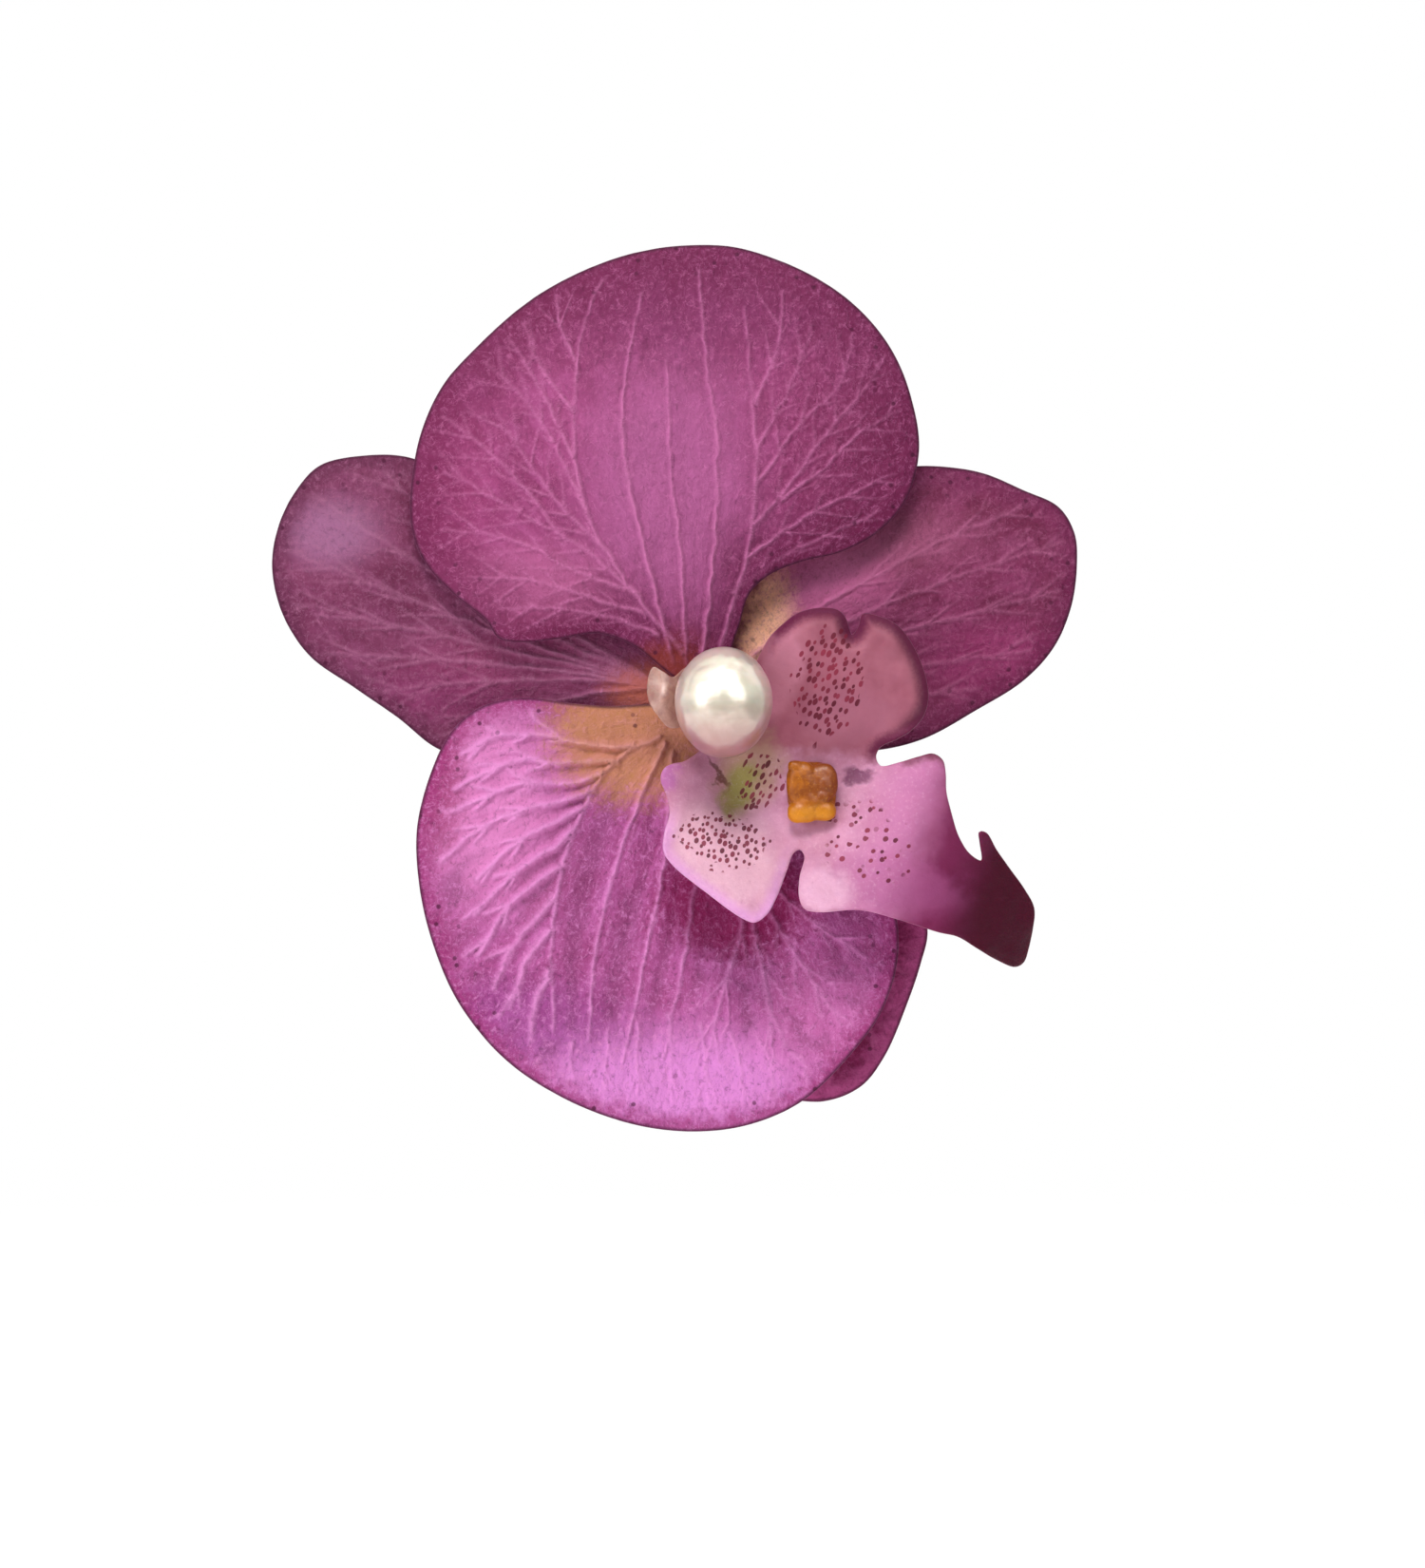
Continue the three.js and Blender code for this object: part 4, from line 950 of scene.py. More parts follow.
def lip_look():
    """The lip: pale pink pressed fabric with dyed zones and maroon spots, and painted shade in the throat's
    fold and in the hollow between the upper and the right lobe.
    """
    look = Look("lip_cloth", Sheen_Weight=0.03, Sheen_Roughness=0.5, Sheen_Tint=srgb(255, 205, 235),
                Specular_IOR_Level=0.12, Subsurface_Weight=0.08, Subsurface_Scale=0.001)
    x, z, rim, back = (look.attr(key) for key in ("px", "pz", "rim", "back"))
    flat = look.vector(x, z)
    cloud, grain = look.noise(flat, 0.22, 3, 0.6), look.noise(flat, 2.6, 4, 0.65, 0.3)
    loose = (look.noise(flat, 0.45, 3, 0.6) - 0.5) * 3.0
    xs, zs = x + loose, z + loose

    def dye_and_painted_shading(*areas):
        """Soft ellipses of colour: colour, strength, x, z, half width, half height, turn."""
        for tint, strength, cx, cz, wide, tall, turn in areas:
            u, v = turned(xs - cx, zs - cz, turn)
            look.coat(tint, look.length(u / wide, v / tall).span(1.15, 0.5) * strength)

    upper = (zs + xs * 0.06).span(-5.6, -3.2)
    mottle = cloud.span(0.3, 0.7)
    look.colour = look.mix(upper, look.mix(mottle, srgb(184, 122, 150), srgb(204, 146, 176)),
                           look.mix(mottle, srgb(142, 76, 94), srgb(162, 94, 112)))
    dye_and_painted_shading(((186, 118, 140), 0.8, 8.2, 3.0, 2.6, 5.0, -16), ((158, 94, 116), 0.5, 15.0, -1.5, 6.0, 3.4, 0))
    far, below = xs - zs * 0.35, upper.span(1.0, 0.0)
    wing = far.span(23.5, 30.5) * below
    look.coat((188, 112, 160), far.span(17.5, 25.0, 0.0, 0.85) * below)
    look.coat((116, 32, 76), wing)
    look.coat((66, 0, 28), far.span(30.0, 36.5) * below)
    # Painted shade among these: the dark line at 1.9, -7.2 is a painted shadow under the fold's edge in the
    # throat, and the dark patch at 16, -7.3 is painted shade in the hollow between the upper and the right
    # lobe.
    dye_and_painted_shading(((166, 84, 136), 0.5, 19.5, -18.0, 8.0, 3.4, -14), ((226, 176, 204), 0.6, 12.5, -18.8, 3.4, 2.6, 0),
        ((220, 172, 190), 0.8, 2.6, -15.0, 7.2, 5.2, -35), ((176, 142, 112), 0.75, 5.2, -7.0, 3.8, 4.6, -25),
        ((146, 138, 72), 0.9, 4.2, -8.6, 1.9, 3.6, -22), ((96, 52, 44), 0.8, 1.9, -7.2, 0.5, 2.2, 28),
        ((92, 30, 70), 0.75, 16.0, -7.3, 1.9, 1.1, 0), ((168, 84, 160), 0.6, -3.2, -7.4, 1.5, 2.0, 0))
    edge = (rim + (grain - 0.5) * 0.8).span(1.5, 0.2)
    look.coat((92, 26, 58), edge * upper * xs.span(6.0, 9.0))
    look.coat((214, 150, 206), edge * (xs.span(9.5, 7.5) * zs.span(-10.0, -13.0)) * 0.7)
    pale = look.math("MAXIMUM", wing, upper).span(0.6, 0.0)
    look.coat((244, 206, 224), grain.span(0.5, 0.8, 0.0, 0.25) * pale)
    look.coat((150, 80, 112), grain.span(0.45, 0.2, 0.0, 0.3) * wing.span(0.6, 0.0))
    pattern = look.vector(look.attr("su"), look.attr("sv"))
    distance, chance = look.cells(pattern, 1.0, randomness=0.8, flat=True)
    size = chance.part(0).span(0.0, 1.0, 0.24, 0.42)
    chosen = (look.attr("speck") - chance.part(1)).span(0.0, 0.12)
    spots = (size - distance).span(-0.03, 0.06) * chosen * back.span(0.5, 0.0)
    maroon = look.mix(chance.part(2), srgb(78, 6, 28), srgb(132, 40, 62))
    look.colour = look.mix(spots * 0.92, look.colour, maroon)
    look.coat((205, 140, 176), back * 0.35)
    weave = look.noise(flat, 5.5, 3, 0.7)
    return look.finish(grain.span(0.3, 0.7, 0.58, 0.42), (cloud, 0.3, 0.0004), (grain, 0.35, 0.00012),
                       (weave, 0.3, 0.00005), (spots, 0.25, 0.00008))


def pearl_look():
    """Nacre: a warm cream body with rose and green bands. Below it is painted darker and rosier, as painted
    shade and a painted reflection of the pink petals.
    """
    look = Look("nacre", Metallic=0.38, Specular_IOR_Level=0.6, Coat_Weight=0.8, Coat_Roughness=0.17,
                Coat_IOR=1.75, Sheen_Weight=0.15, Sheen_Tint=srgb(255, 190, 215), Subsurface_Weight=0.25,
                Subsurface_Scale=0.002)
    place = look.place()
    cloud, fine = look.noise(place, 0.28, 3, 0.55, 0.6), look.noise(place, 2.2, 4, 0.6)
    rings = look.noise(place.stretched(0.25, 0.25, 1.6), 1.0, 2, 0.5)
    swell = look.noise(place, 0.42, 1, 0.4, 0.4)
    look.base(cloud.span(0.35, 0.65), (214, 206, 186), (232, 220, 204))
    look.coat((206, 212, 190), rings.span(0.4, 0.7, 0.0, 0.35))
    # Painted shade and a painted reflection of the pink petals: darker and rosier towards the bottom.
    look.coat((158, 104, 102), (place.part(2) + cloud * 2.0).span(2.0, -3.6, 0.0, 0.9))
    return look.finish(0.3, (swell, 0.5, 0.0007), (rings, 0.12, 0.0004), (fine, 0.1, 0.00004))


def plain_look(name, dark, light, rough, scale, specks=None, **sockets):
    """A two-tone mottled material with a fine grain in its colour, roughness and relief."""
    look = Look(name, **sockets)
    place = look.place()
    cloud, fine = look.noise(place, 0.35 * scale, 4, 0.6, 0.4), look.noise(place, 4.0, 4, 0.65)
    look.base(cloud.span(0.32, 0.68), dark, light)
    look.coat(shade(light, 1.18, 6), fine.span(0.55, 0.8, 0.0, 0.35))
    if specks:
        look.coat(specks, look.cells(place, 1.5 * scale)[0].span(0.22, 0.1, 0.0, 0.8))
    return look.finish(fine.span(0.3, 0.7, *rough), (cloud, 0.35, 0.00024), (fine, 0.5, 0.00006))


def callus_look():
    """Cast amber: deep at the upper right, with a fine grain; the bright lower roll is a
    painted highlight.
    """
    look = Look("callus_amber", Specular_IOR_Level=0.25, Coat_Weight=0.1, Coat_Roughness=0.15)
    place = look.place()
    cloud, fine = look.noise(place, 0.7, 3, 0.6, 0.4), look.noise(place, 4.0, 4, 0.65)
    x, z = place.part(0), place.part(2)
    drift = (cloud - 0.5) * 2.2
    look.base(cloud.span(0.35, 0.65), (130, 62, 0), (168, 92, 0))
    look.coat((118, 50, 4), (x + drift).span(11.0, 12.6) * z.span(-10.0, -9.0) * 0.75)
    # Painted highlight: brighter along the lower roll.
    look.coat((226, 148, 20), (z + drift).span(-9.8, -11.2, 0.0, 0.55))
    look.coat((230, 164, 50), fine.span(0.55, 0.8, 0.0, 0.5))
    look.coat((110, 44, 0), fine.span(0.45, 0.25, 0.0, 0.4))
    return look.finish(fine.span(0.3, 0.7, 0.3, 0.45), (cloud, 0.35, 0.0003), (fine, 0.5, 0.00008))


def felt_look():
    """Needled felt: tangled fibres, a little paler where they stand up."""
    look = Look("needled_felt", Sheen_Weight=0.6, Sheen_Roughness=0.6, Sheen_Tint=srgb(190, 150, 180),
                Specular_IOR_Level=0.1)
    place = look.place()
    bent = look.mix(0.25, place, look.noise(place, 0.8, 3).stretched(8, 8, 8))
    threads = [look.noise(bent.stretched(*along), 1.0, 4, 0.7, 1.5) for along in ((9, 2, 2.2), (2, 2, 9))]
    tangle = look.math("MAXIMUM", *threads)
    cloud = look.noise(place, 0.3, 3)
    look.base(cloud.span(0.3, 0.7), (66, 38, 58), (84, 50, 74))
    look.coat((128, 92, 118), tangle.span(0.5, 0.8, 0.0, 0.8))
    return look.finish(tangle.span(0.3, 0.7, 1.0, 0.8), (cloud, 0.3, 0.0003), (tangle, 0.7, 0.00022))


def steel_look(name, tint, brush, rough=(0.27, 0.36)):
    """Plated steel with rolling marks along one direction, a few fine scratches and dulled patches."""
    look = Look(name, Metallic=1.0, Anisotropic=0.35, Coat_Weight=0.15, Coat_Roughness=0.12)
    place = look.place()
    lines = look.noise(place.stretched(*brush), 1.0, 4, 0.7)
    cloud, fine = look.noise(place, 0.25, 4, 0.6), look.noise(place, 3.0, 4, 0.6)
    scuff = look.cells(place.stretched(0.16, 0.5, 1.7), 0.8, "DISTANCE_TO_EDGE")[0].span(0.012, 0.0)
    look.base(cloud.span(0.35, 0.7), tint, shade(tint, 0.9))
    look.coat(shade(tint, 1.08), lines.span(0.4, 0.7, 0.0, 0.3))
    look.coat((120, 118, 116), scuff * 0.35)
    patchy = lines * 0.68 + cloud * 0.32
    return look.finish(patchy.span(0.35, 0.65, *rough) + scuff * 0.15, (lines, 0.25, 0.00003),
                       (fine, 0.15, 0.00003), (scuff, 0.2, 0.00002))


# ------------------------------------------------------------------ where each petal's veins run
def top_veins(v):
    for guide, wide, high in (
            ([(-1.5, 5), (-7.4, 12.4), (-10.4, 17.4), (-12.3, 23.5), (-12.5, 30.2), (-11.8, 37), (-9.8, 43)],
             0.25, 0.40),
            ([(-2.7, 4.3), (-5.7, 16.7), (-7.2, 23.5), (-7.4, 31.9), (-5.7, 41.5)], 0.25, 0.36),
            ([(-1.2, 4), (-1.7, 14), (-2.7, 23.5), (-3.2, 34.6)], 0.23, 0.30),
            ([(0.35, 4), (1.7, 16.7), (1.9, 25.2), (0.7, 35.3), (0, 44)], 0.25, 0.36),
            ([(2.0, 5), (4.7, 14), (5.6, 18.4), (5.9, 23.5), (5.4, 30.9), (4.7, 40)], 0.23, 0.34)):
        v.main(guide, wide, high)
    left = [
        [(-8.6, 14.4), (-11, 17), (-14, 20), (-17, 24), (-20.4, 29.2)],
        [(-11.4, 19.6), (-14.5, 26), (-17.4, 30.4), (-21.6, 34.6)],
        [(-12.4, 24.4), (-14.4, 28.4), (-16.2, 32.2), (-19.2, 37)],
        [(-12.7, 29.5), (-15.8, 33.6), (-17.8, 38.6)],
        [(-12.4, 34.6), (-14.0, 38.4), (-14.4, 41.5)],
        [(-6.2, 10.8), (-11.8, 15.7), (-15.8, 18), (-19.5, 20), (-25.6, 23.4)],
        [(-14.4, 17.3), (-17.4, 21.4), (-22.4, 26.4), (-26, 29)],
        [(-7.4, 11.4), (-12.8, 13.4), (-16.2, 15.4), (-20.9, 16.9), (-26, 17.5)],
        [(-5.2, 9.0), (-11.4, 10.8), (-17, 12.4), (-23.4, 12.8)],
        [(-4.0, 7.0), (-9.4, 8.8), (-15, 9.6), (-20, 9.6)],
    ]
    right = [
        [(5.5, 17.8), (8.8, 21.4), (12.8, 27), (16.6, 31.4), (19, 35.4)],
        [(5.9, 22), (9.8, 27.5), (14.2, 32), (15.6, 37)],
        [(5.9, 25.4), (9.5, 32.6), (11.6, 38.4)],
        [(5.7, 30), (8.0, 36), (8.6, 42)],
        [(8.4, 20.4), (12.4, 23.4), (15.5, 26.5), (20.4, 29.8)],
        [(4.9, 14.6), (9.4, 17.9), (14, 20.4), (19.8, 23.2)],
        [(3.6, 11.2), (8.4, 14.7), (13.6, 17.2), (18.2, 19.4)],
    ]
    for guide in left:
        v.main(guide, 0.22, 0.30, left=5.5, right=4.5, start=3, gap=3.0, angle=33)
    for guide in right:
        v.main(guide, 0.21, 0.27, left=4.5, right=4.5, start=3.5, gap=3.4, angle=33)


def bottom_veins(v):
    for guide, wide, high in (
            ([(-3.9, -3.4), (-7.35, -5), (-10.1, -7.8), (-12.2, -11.9), (-13.9, -17.4), (-14.9, -23.6),
              (-14.6, -33.2)], 0.27, 0.44),
            ([(-3.5, -4), (-5.6, -8.9), (-8, -15.4), (-10.1, -23.6), (-11.1, -34.2)], 0.27, 0.44),
            ([(-2.6, -5), (-3.6, -16.8), (-5.3, -25.3), (-7.6, -36.2)], 0.27, 0.42),
            ([(-0.1, -12.5), (-0.6, -20), (-1.9, -28.1), (-3.6, -36)], 0.25, 0.38)):
        v.main(guide, wide, high)
    for guide, wide, high, side, start, gap, angle in (
            ([(4.2, -14), (4.4, -22.3), (2.6, -29.1), (0.6, -37)], 0.28, 0.34, 4, 9, 4, 24),
            ([(4.6, -17), (6.1, -25.6), (7.2, -30.8), (7.6, -37.6)], 0.27, 0.32, 4, 6, 4, 24),
            ([(5.2, -17), (8.6, -23.4), (11.2, -27.4), (14.4, -32.5)], 0.27, 0.30, 4, 6, 4, 26),
            ([(5.8, -16.6), (10.4, -21.2), (17.2, -25.8)], 0.26, 0.28, 3, 4, 3.4, 26)):
        v.main(guide, wide, high, left=side, right=side, start=start, gap=gap, angle=angle)
    v.main([(-6.3, -11.4), (-7.4, -17.5)], 0.2, 0.1)
    outer = [
        [(-6.4, -4.4), (-11, -4.2), (-15.4, -3.2), (-20.4, -3.4), (-24, -5.2)],
        [(-8.2, -5.8), (-13.9, -6), (-18.6, -5.8), (-24.6, -8.6)],
        [(-9.4, -6.9), (-12.6, -8.0), (-18, -8.2), (-25.6, -11.2)],
        [(-10.6, -8.7), (-14, -10), (-17.3, -10.6), (-22.5, -13.0), (-26, -16)],
        [(-11.6, -10.6), (-14.4, -12.0), (-18, -13.9), (-22.4, -17.8)],
        [(-12.4, -12.6), (-15, -14.9), (-18.4, -17.0), (-22.6, -21.4)],
        [(-13.6, -16.2), (-16.2, -18), (-18.9, -20.2), (-22.2, -25.4)],
        [(-14.4, -19.6), (-16.6, -22), (-18.8, -24.6), (-20.6, -28.8)],
        [(-14.9, -23), (-17.4, -26), (-19, -30.8)],
        [(-15, -27), (-16.6, -30.8), (-16.8, -34)],
    ]
    for k, guide in enumerate(outer):
        v.main(guide, 0.44, 0.74 if k < 7 else 0.46, left=2.6, right=3.2, start=6.5, gap=4.4, angle=22)
    for x in (-12.6, -9.2, -6.2, -3.0, 0.2, 3.4, 6.2, 9.4):
        v.main([(x, -31.5 - 0.3 * abs(x + 3)), (x * 1.06 + 0.5, -36), (x * 1.12 + 0.8, -40.4)], 0.24, 0.2,
               left=3, right=3, start=1.5, gap=2.6, angle=24)


def fan_veins(base, tips, bend, **branches):
    """Long veins from the base of a sepal to points near its end, bowed by bend."""
    def draw(v):
        for tip, share in zip(tips, np.linspace(-1, 1, len(tips))):
            foot = np.array(base, float)
            along = np.array(tip, float) - foot
            side = np.array([-along[1], along[0]])
            guide = [foot + along * 0.05 + side * 0.02 * share, foot + along * 0.35 + side * bend * share,
                     foot + along * 0.7 + side * bend * share * 0.8, foot + along]
            v.main(guide, 0.3, 0.3, gap=5, angle=20, **branches)
    return draw


# ------------------------------------------------------------------ the pieces
LEFT_TIPS = [
    (-27, -3.4), (-33.4, 1.2), (-38.6, 5.2), (-41.6, 10.4), (-42.2, 15.8), (-39.6, 21.6), (-32.4, 24)]
RIGHT_TIPS = [(22.6, -2.2), (29, 1.6), (34, 5.6), (37, 11.6), (37.4, 16.6), (35.4, 21)]
LOWER_TIPS = [(1.6, -29), (4.4, -35.6), (9, -39), (14, -39), (18.4, -35), (21.2, -28.4)]

petal_top = petal("top_petal_cloth", TOP_PETAL, top_veins, relief=0.95, quilt=0.18, wave=0.2, seed=11)
petal_bottom = petal("bottom_petal_cloth", BOTTOM_PETAL, bottom_veins, relief=0.95, quilt=0.34, wave=0.16,
                     seed=12, claw=(0, -1))
sepal_left = petal("left_sepal_cloth", SEPAL_LEFT,
                   fan_veins((-2, 1.5), LEFT_TIPS, 0.05, left=6, right=6, start=17),
                   cells=100, relief=0.75, wave=0.25, seed=13, claw=(0, 1))
sepal_right = petal("right_sepal_cloth", SEPAL_RIGHT,
                    fan_veins((2, 1.5), RIGHT_TIPS, 0.05, left=5, right=5, start=16),
                    cells=100, relief=0.75, wave=0.25, seed=14, claw=(0, 1))
sepal_lower = petal("lower_sepal_cloth", SEPAL_LOWER,
                    fan_veins((0.6, -2), LOWER_TIPS, 0.04, left=4, right=4, start=18),
                    cells=80, relief=0.7, wave=0.2, seed=15, claw=(0, -1))
anther = petal("anther_flap", ANTHER_CAP, cells=24, thick=0.34, edge=0.22, seed=16, fine=0.3)
lip = make_lip()
pearl = make_pearl()
column = lathe("column_post", "column", [
    (0, 0), (0.7, 0.0), (0.97, 0.02), (1, 0.08), (0.9, 0.3), (0.82, 0.55), (0.86, 0.8), (0.95, 0.93),
    (0.9, 0.985), (0.7, 1.0), (0, 1.0)], uneven=0.04)
collar = lathe("calyx_ring", "calyx_collar", [
    (0, 0.02), (0.8, 0.0), (0.96, 0.06), (1, 0.3), (0.97, 0.6), (0.86, 0.86), (0.7, 0.98), (0.4, 1.0),
    (0, 1.0)], uneven=0.02)
flange = lathe("receptacle_stem", "receptacle", [
    (0, 0), (0.9, 0.0), (1, 0.02), (1, 0.06), (0.9, 0.078), (0.56, 0.085), (0.52, 0.12), (0.51, 0.5),
    (0.51, 0.92), (0.48, 0.97), (0.4, 1.0), (0, 1.0)], uneven=0.0)
callus = make_callus()
beads = [softened(f"{node}_bead", node, voxel, rounds, lumps, size, seed)
         for node, voxel, rounds, lumps, size, seed in (
             ("pearl_glue", 0.1, 3, 0.03, 0.9, 70), ("flower_glue", 0.14, 4, 0.06, 1.4, 72),
             ("clip_glue", 0.22, 6, 0.1, 2.2, 73))]
felt = make_felt()
spring = make_spring()

# ------------------------------------------------------------------ finishes
# Painted light and shade on the top petal: the pale patch at -17, 11 stands for light on the lower left,
# which faces up, the dark one at 15, 24 for shade on the right side, and the dark strip at 16, 17 is a
# painted shadow under the rolled lower right edge.
petal_look("top_petal_dye_and_painted_shading", deep=(128, 48, 92), mid=(148, 62, 112), light=(164, 76, 130),
           vein=(200, 112, 164), margin=(100, 22, 64), margin_width=9.0, speckle=0.26, vein_share=0.64,
           patches=[((172, 94, 146), -3, 21, 10, 16, 0.6), ((176, 92, 138), -17, 11, 10, 5.5, 0.75),
                    ((146, 52, 100), -25, 22, 5, 10, 0.4), ((112, 34, 74), 15, 24, 9, 14, 0.75),
                    ((104, 30, 74), 0, 41, 19, 8, 0.65), ((96, 22, 60), 16, 17, 7, 2.6, 0.7),
                    ((132, 44, 22), -2.5, 3.4, 5.0, 4.4, 0.95), ((104, 24, 64), -14, 6.8, 9, 2.2, 0.7)],
           over=[((140, 56, 46), -3.4, 3.4, 4.2, 3.0, 0.75, 0.4)]).wear(petal_top, "petal_fabric")
# Painted light and shade on the bottom petal: the pale patches at -3, -39 and -21, -10 stand for light on the
# lower rim and the left side, which face up, the dark patch at 3.8, -19.5, laid both under and over the
# veins, is a painted shadow of the lip, and valley paints shade between the ribs.
petal_look("bottom_petal_dye_and_painted_shading", deep=(146, 60, 114), mid=(164, 76, 136), light=(186, 98, 162),
           vein=(212, 132, 192), margin=(140, 38, 100), margin_width=2.8, speckle=0.5, vein_share=0.7,
           valley=0.45,
           patches=[((222, 140, 216), -3, -39, 18, 7, 0.7), ((216, 130, 188), -21, -10, 8, 12, 0.75),
                    ((188, 100, 160), 13, -32, 8, 6, 0.6), ((120, 6, 66), 3.8, -19.5, 8.6, 7.0, 0.9, 0.3),
                    ((140, 34, 88), -26.4, -8, 3.2, 8, 0.7), ((128, 52, 130), -18, -32, 12, 5, 0.4)],
           over=[((198, 140, 72), -6.6, -3.0, 9.8, 8.2, 0.66, 0.3),
                 ((126, 22, 76), 3.8, -19.5, 8.6, 7.0, 0.55, 0.3)]).wear(petal_bottom, "petal_fabric")
# The pale patch at -37.5, 17.5 near the left sepal's tip is a painted highlight.
petal_look("left_sepal_dye_and_painted_highlight", deep=(98, 34, 66), mid=(116, 50, 84), light=(130, 62, 100), vein=(166, 100, 136),
           margin=(90, 34, 64), speckle=0.36, vein_share=0.55,
           patches=[((162, 108, 148), -37.5, 17.5, 5.5, 4.0, 0.6), ((150, 66, 40), -4.0, 1.5, 6, 3.4, 0.9),
                    ((130, 44, 94), -26, 1, 10, 3.4, 0.5), ((138, 54, 96), -18, 4.6, 12, 4, 0.5)],
           over=[((178, 96, 84), -5.0, 1.2, 4.6, 2.6, 0.7, 0.5)]).wear(sepal_left, "sepal_fabric")
# On the right sepal the pale patches at 11, 14.5 and 5.6, 9.8 are painted light that lifts the top petal's
# shadow; the one at 5.6, 9.8 also gives the sepal's own yellowish base.
petal_look("right_sepal_dye_and_painted_light", deep=(100, 28, 62), mid=(122, 44, 84), light=(136, 60, 100),
           vein=(170, 92, 132), margin=(100, 24, 66), speckle=0.34, vein_share=0.6,
           patches=[((204, 108, 158), 11, 14.5, 9.0, 7, 0.8), ((255, 196, 160), 5.6, 9.8, 4.2, 6.4, 0.95),
                    ((146, 78, 106), 17, 17, 12, 4, 0.5),
                    ((144, 44, 98), 30, 4, 8, 5, 0.5)]).wear(sepal_right, "sepal_fabric")
# The lower sepal's colours are darker than its own dyed colour, as painted shade for the shade that it lies
# in.
petal_look("lower_sepal_dye_and_painted_shade", deep=(104, 6, 58), mid=(120, 20, 74), light=(134, 36, 90), vein=(160, 70, 118),
           margin=(176, 76, 132), margin_width=3.4, speckle=0.3,
           patches=[((180, 134, 90), 1.5, -5, 4, 5, 0.8)]).wear(sepal_lower, "sepal_fabric")
lip_look().wear(lip, "lip_fabric")
pearl_look().wear(pearl, "pearl")
callus_look().wear(callus, "callus_plastic")
plain_look("column_pink", (176, 120, 128), (204, 156, 156), (0.35, 0.5), 2, specks=(150, 80, 110),
           Subsurface_Weight=0.2, Subsurface_Scale=0.001).wear(column, "column_plastic")
plain_look("anther_pale", (146, 104, 96), (176, 136, 124), (0.3, 0.45), 2, Subsurface_Weight=0.3,
           Subsurface_Scale=0.001, Coat_Weight=0.2).wear(anther, "column_plastic")
green = plain_look("calyx_green", (70, 96, 44), (98, 128, 62), (0.4, 0.6), 2)
for piece in (collar, flange):
    green.wear(piece, "green_plastic")
clear = plain_look("hot_glue", (214, 206, 180), (232, 226, 206), (0.14, 0.3), 1.5, Transmission_Weight=0.35,
                   Subsurface_Weight=0.3, Subsurface_Scale=0.002, IOR=1.48, Coat_Weight=0.3)
for bead in beads:
    clear.wear(bead, "glue")
felt_look().wear(felt, "felt")
plate = steel_look("plated_sheet", (186, 186, 190), (7, 7, 0.35))
for node in ("front_jaw", "rear_jaw"):
    keep_node(node, plate)
keep_node("hinge_pin", steel_look("turned_pin", (196, 194, 192), (0.5, 6, 6)), bevel=0.08)
steel_look("drawn_wire", (178, 178, 182), (3, 3, 3), rough=(0.22, 0.4)).wear(spring, "spring_steel")


# ------------------------------------------------------------------ lights
def lamp(name, place, aim, power, wide, tall, colour=(1, 1, 1)):
    """A rectangular lamp that the camera doesn't see. Places are in millimetres, sizes in metres."""
    data = bpy.data.lights.new(name, "AREA")
    data.shape, data.size, data.size_y = "RECTANGLE", wide, tall
    data.energy, data.color = power, colour
    obj = link(name, data)
    obj.location = Vector(place) * MM
    obj.rotation_euler = (Vector(aim) * MM - obj.location).to_track_quat("-Z", "Y").to_euler()
    obj.visible_camera = False
    return obj


PEARL_PLACE, PANE_POWER = (2.5, -17, 0), 9     # watts to the square metre
lamp("key", (-60, -400, 480), (0, 0, 0), 3.0, 0.28, 0.22, (1, 0.985, 0.96))
lamp("side", (-420, -330, 120), (0, 0, 0), 1.3, 0.25, 0.4, (0.95, 0.97, 1))
lamp("back", (100, 420, 260), (0, 0, 0), 2.2, 0.8, 0.7)
for k, (x, z, wide, tall) in enumerate((
        (-88, 260, 0.18, 0.24), (96, 250, 0.2, 0.24), (-150, 90, 0.12, 0.12), (140, 70, 0.2, 0.14))):
    pane = lamp(f"pane_{k}", (x, -250, z), PEARL_PLACE, PANE_POWER * wide * tall, wide, tall)
    pane.visible_diffuse = False

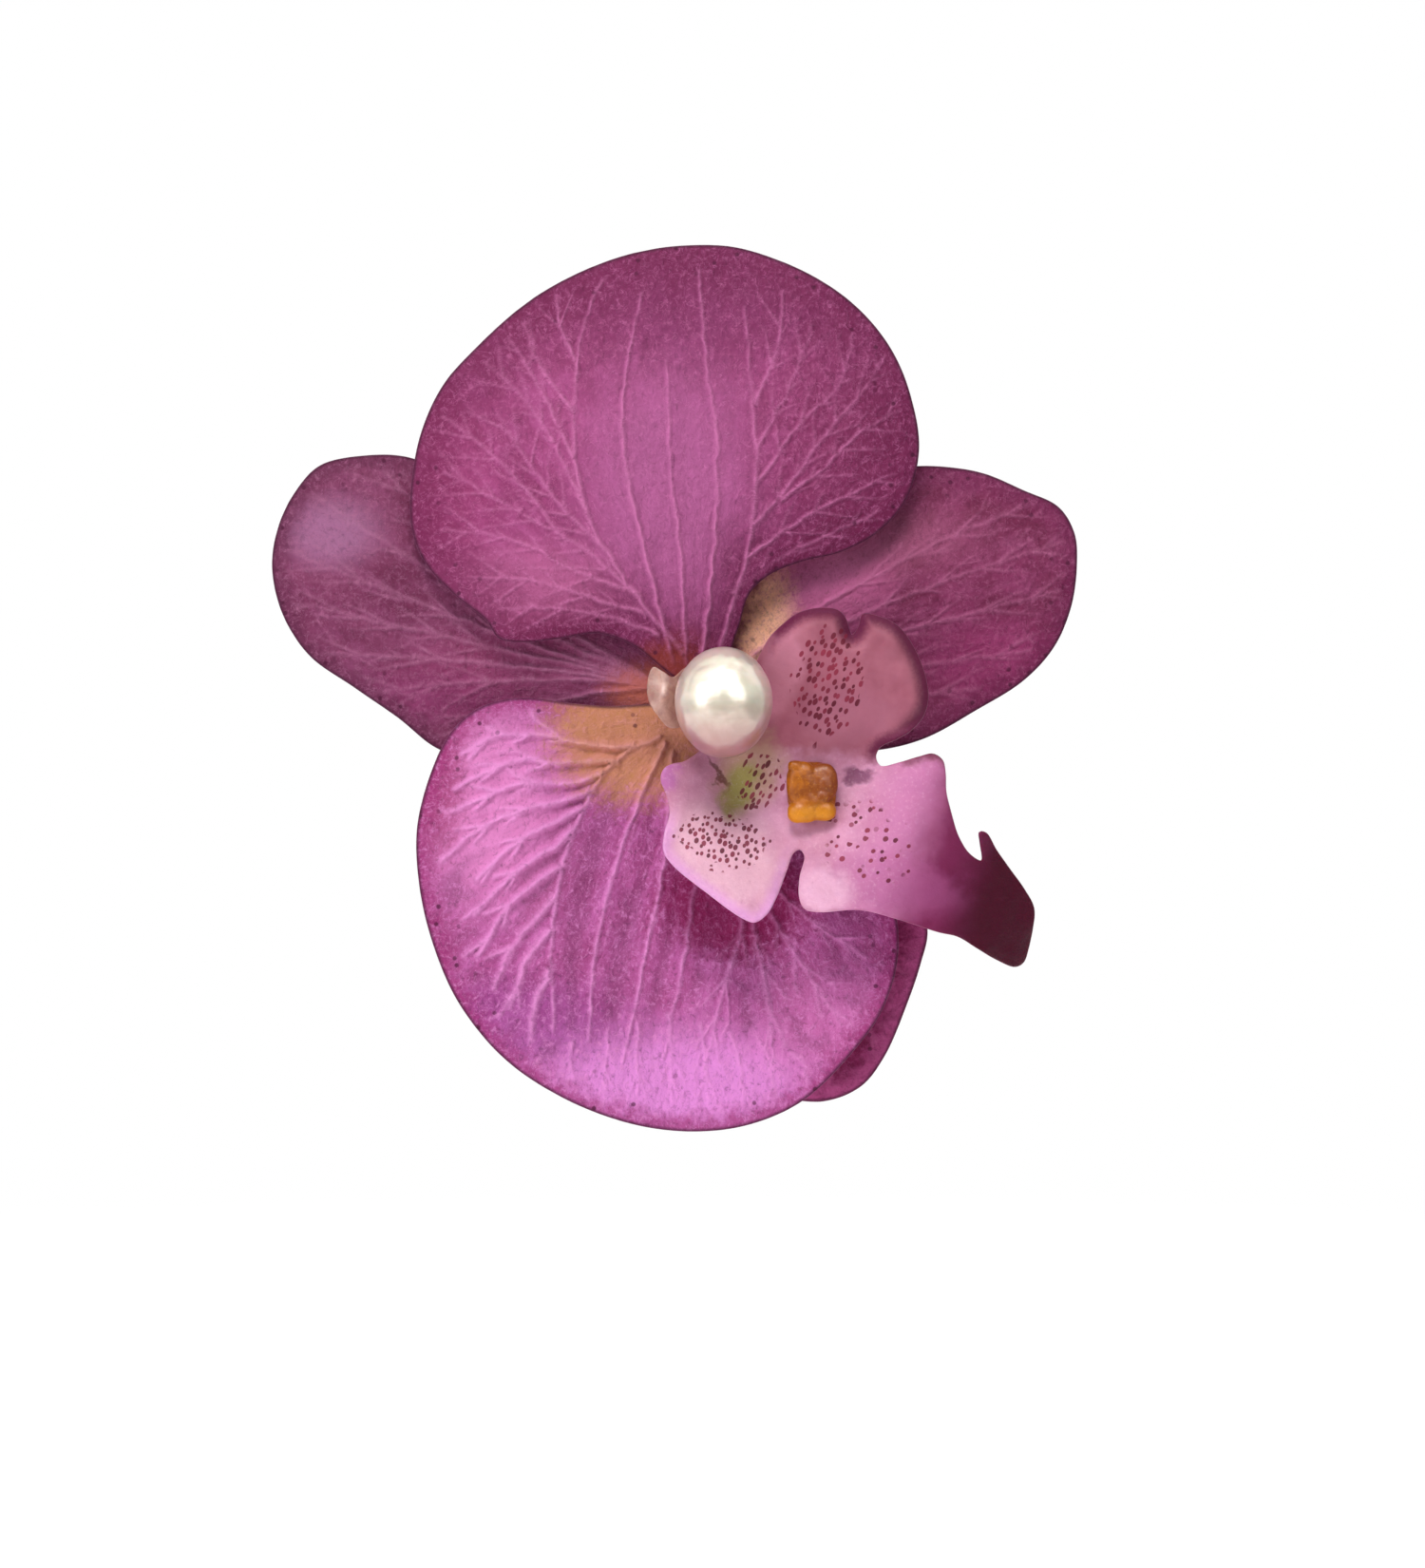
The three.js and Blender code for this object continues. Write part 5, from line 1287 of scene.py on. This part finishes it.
# ------------------------------------------------------------------ floor: paper that fades out at its rim
RINGS, SPOKES, REACH, FLOOR_HEIGHT = 40, 96, 460.0, -98.0
ground = bpy.data.meshes.new("floor")
turns = [2 * math.pi * j / SPOKES for j in range(SPOKES)]
reaches = [REACH * (k + 0.001) / RINGS for k in range(RINGS + 1)]
points = [(r * math.cos(a) * MM, r * math.sin(a) * MM, FLOOR_HEIGHT * MM) for r in reaches for a in turns]
ground.from_pydata(points, [], tube_faces(RINGS + 1, SPOKES))
floor = link("floor", ground)
paper = Look("white_paper", Specular_IOR_Level=0.1, Emission_Color=(1, 1, 1, 1), Emission_Strength=0.6)
here = paper.place()
paper.base(paper.noise(here, 0.6, 4, 0.6), (240, 240, 240), (252, 252, 252))
paper.finish(0.9)
fade = paper.add("VectorMath", "Value", {0: here}, operation="LENGTH").span(240, REACH - 20)
lit, gone = Value(paper, paper.shader.outputs[0]), paper.add("BsdfTransparent", 0, {})
paper.feed(paper.tree.nodes["Material Output"].inputs["Surface"], paper.either(fade, lit, gone))
ground.materials.append(paper.material)

# ------------------------------------------------------------------ world
world = bpy.data.worlds.new("studio")
world.use_nodes = True
sky = Graph(world.node_tree)
dim, white = (sky.add("Background", 0, {"Color": colour, "Strength": strength})
              for colour, strength in (((0.96, 0.97, 1, 1), 0.17), ((1, 1, 1, 1), 1.0)))
# What shiny surfaces reflect: a room that is bright above and dim below, with a dark patch low in front.
towards = sky.add("TexCoord", "Generated", {})
upward = towards.part(2).span(-0.2, 0.45, 0.22, 1.15)
ahead = sky.add("VectorMath", "Value", {0: towards, 1: (0.02, -0.89, -0.45)}, operation="DOT_PRODUCT")
strength = upward * ahead.span(0.82, 0.94, 1.0, 0.12)
room = sky.add("Background", 0, {"Color": (1, 0.99, 0.97, 1), "Strength": strength})
shiny = sky.either(sky.add("LightPath", "Is Glossy Ray", {}), dim, room)
seen = sky.either(sky.add("LightPath", "Is Camera Ray", {}), shiny, white)
sky.feed(sky.tree.nodes["World Output"].inputs["Surface"], seen)
scene.world = world
scene.view_settings.view_transform = "Standard"

# ------------------------------------------------------------------ camera
# It stands where the bloom takes up as much of the picture, and the same place in it, as in the photo.
lens = bpy.data.cameras.new("camera")
lens.lens, lens.sensor_width, lens.sensor_fit = 85, 36, "AUTO"
lens.clip_start, lens.clip_end = 0.01, 20
camera = link("camera", lens)
camera.location = (0.00144, -0.385, -0.00817)
camera.rotation_euler = (math.pi / 2, 0, 0)
scene.camera = camera
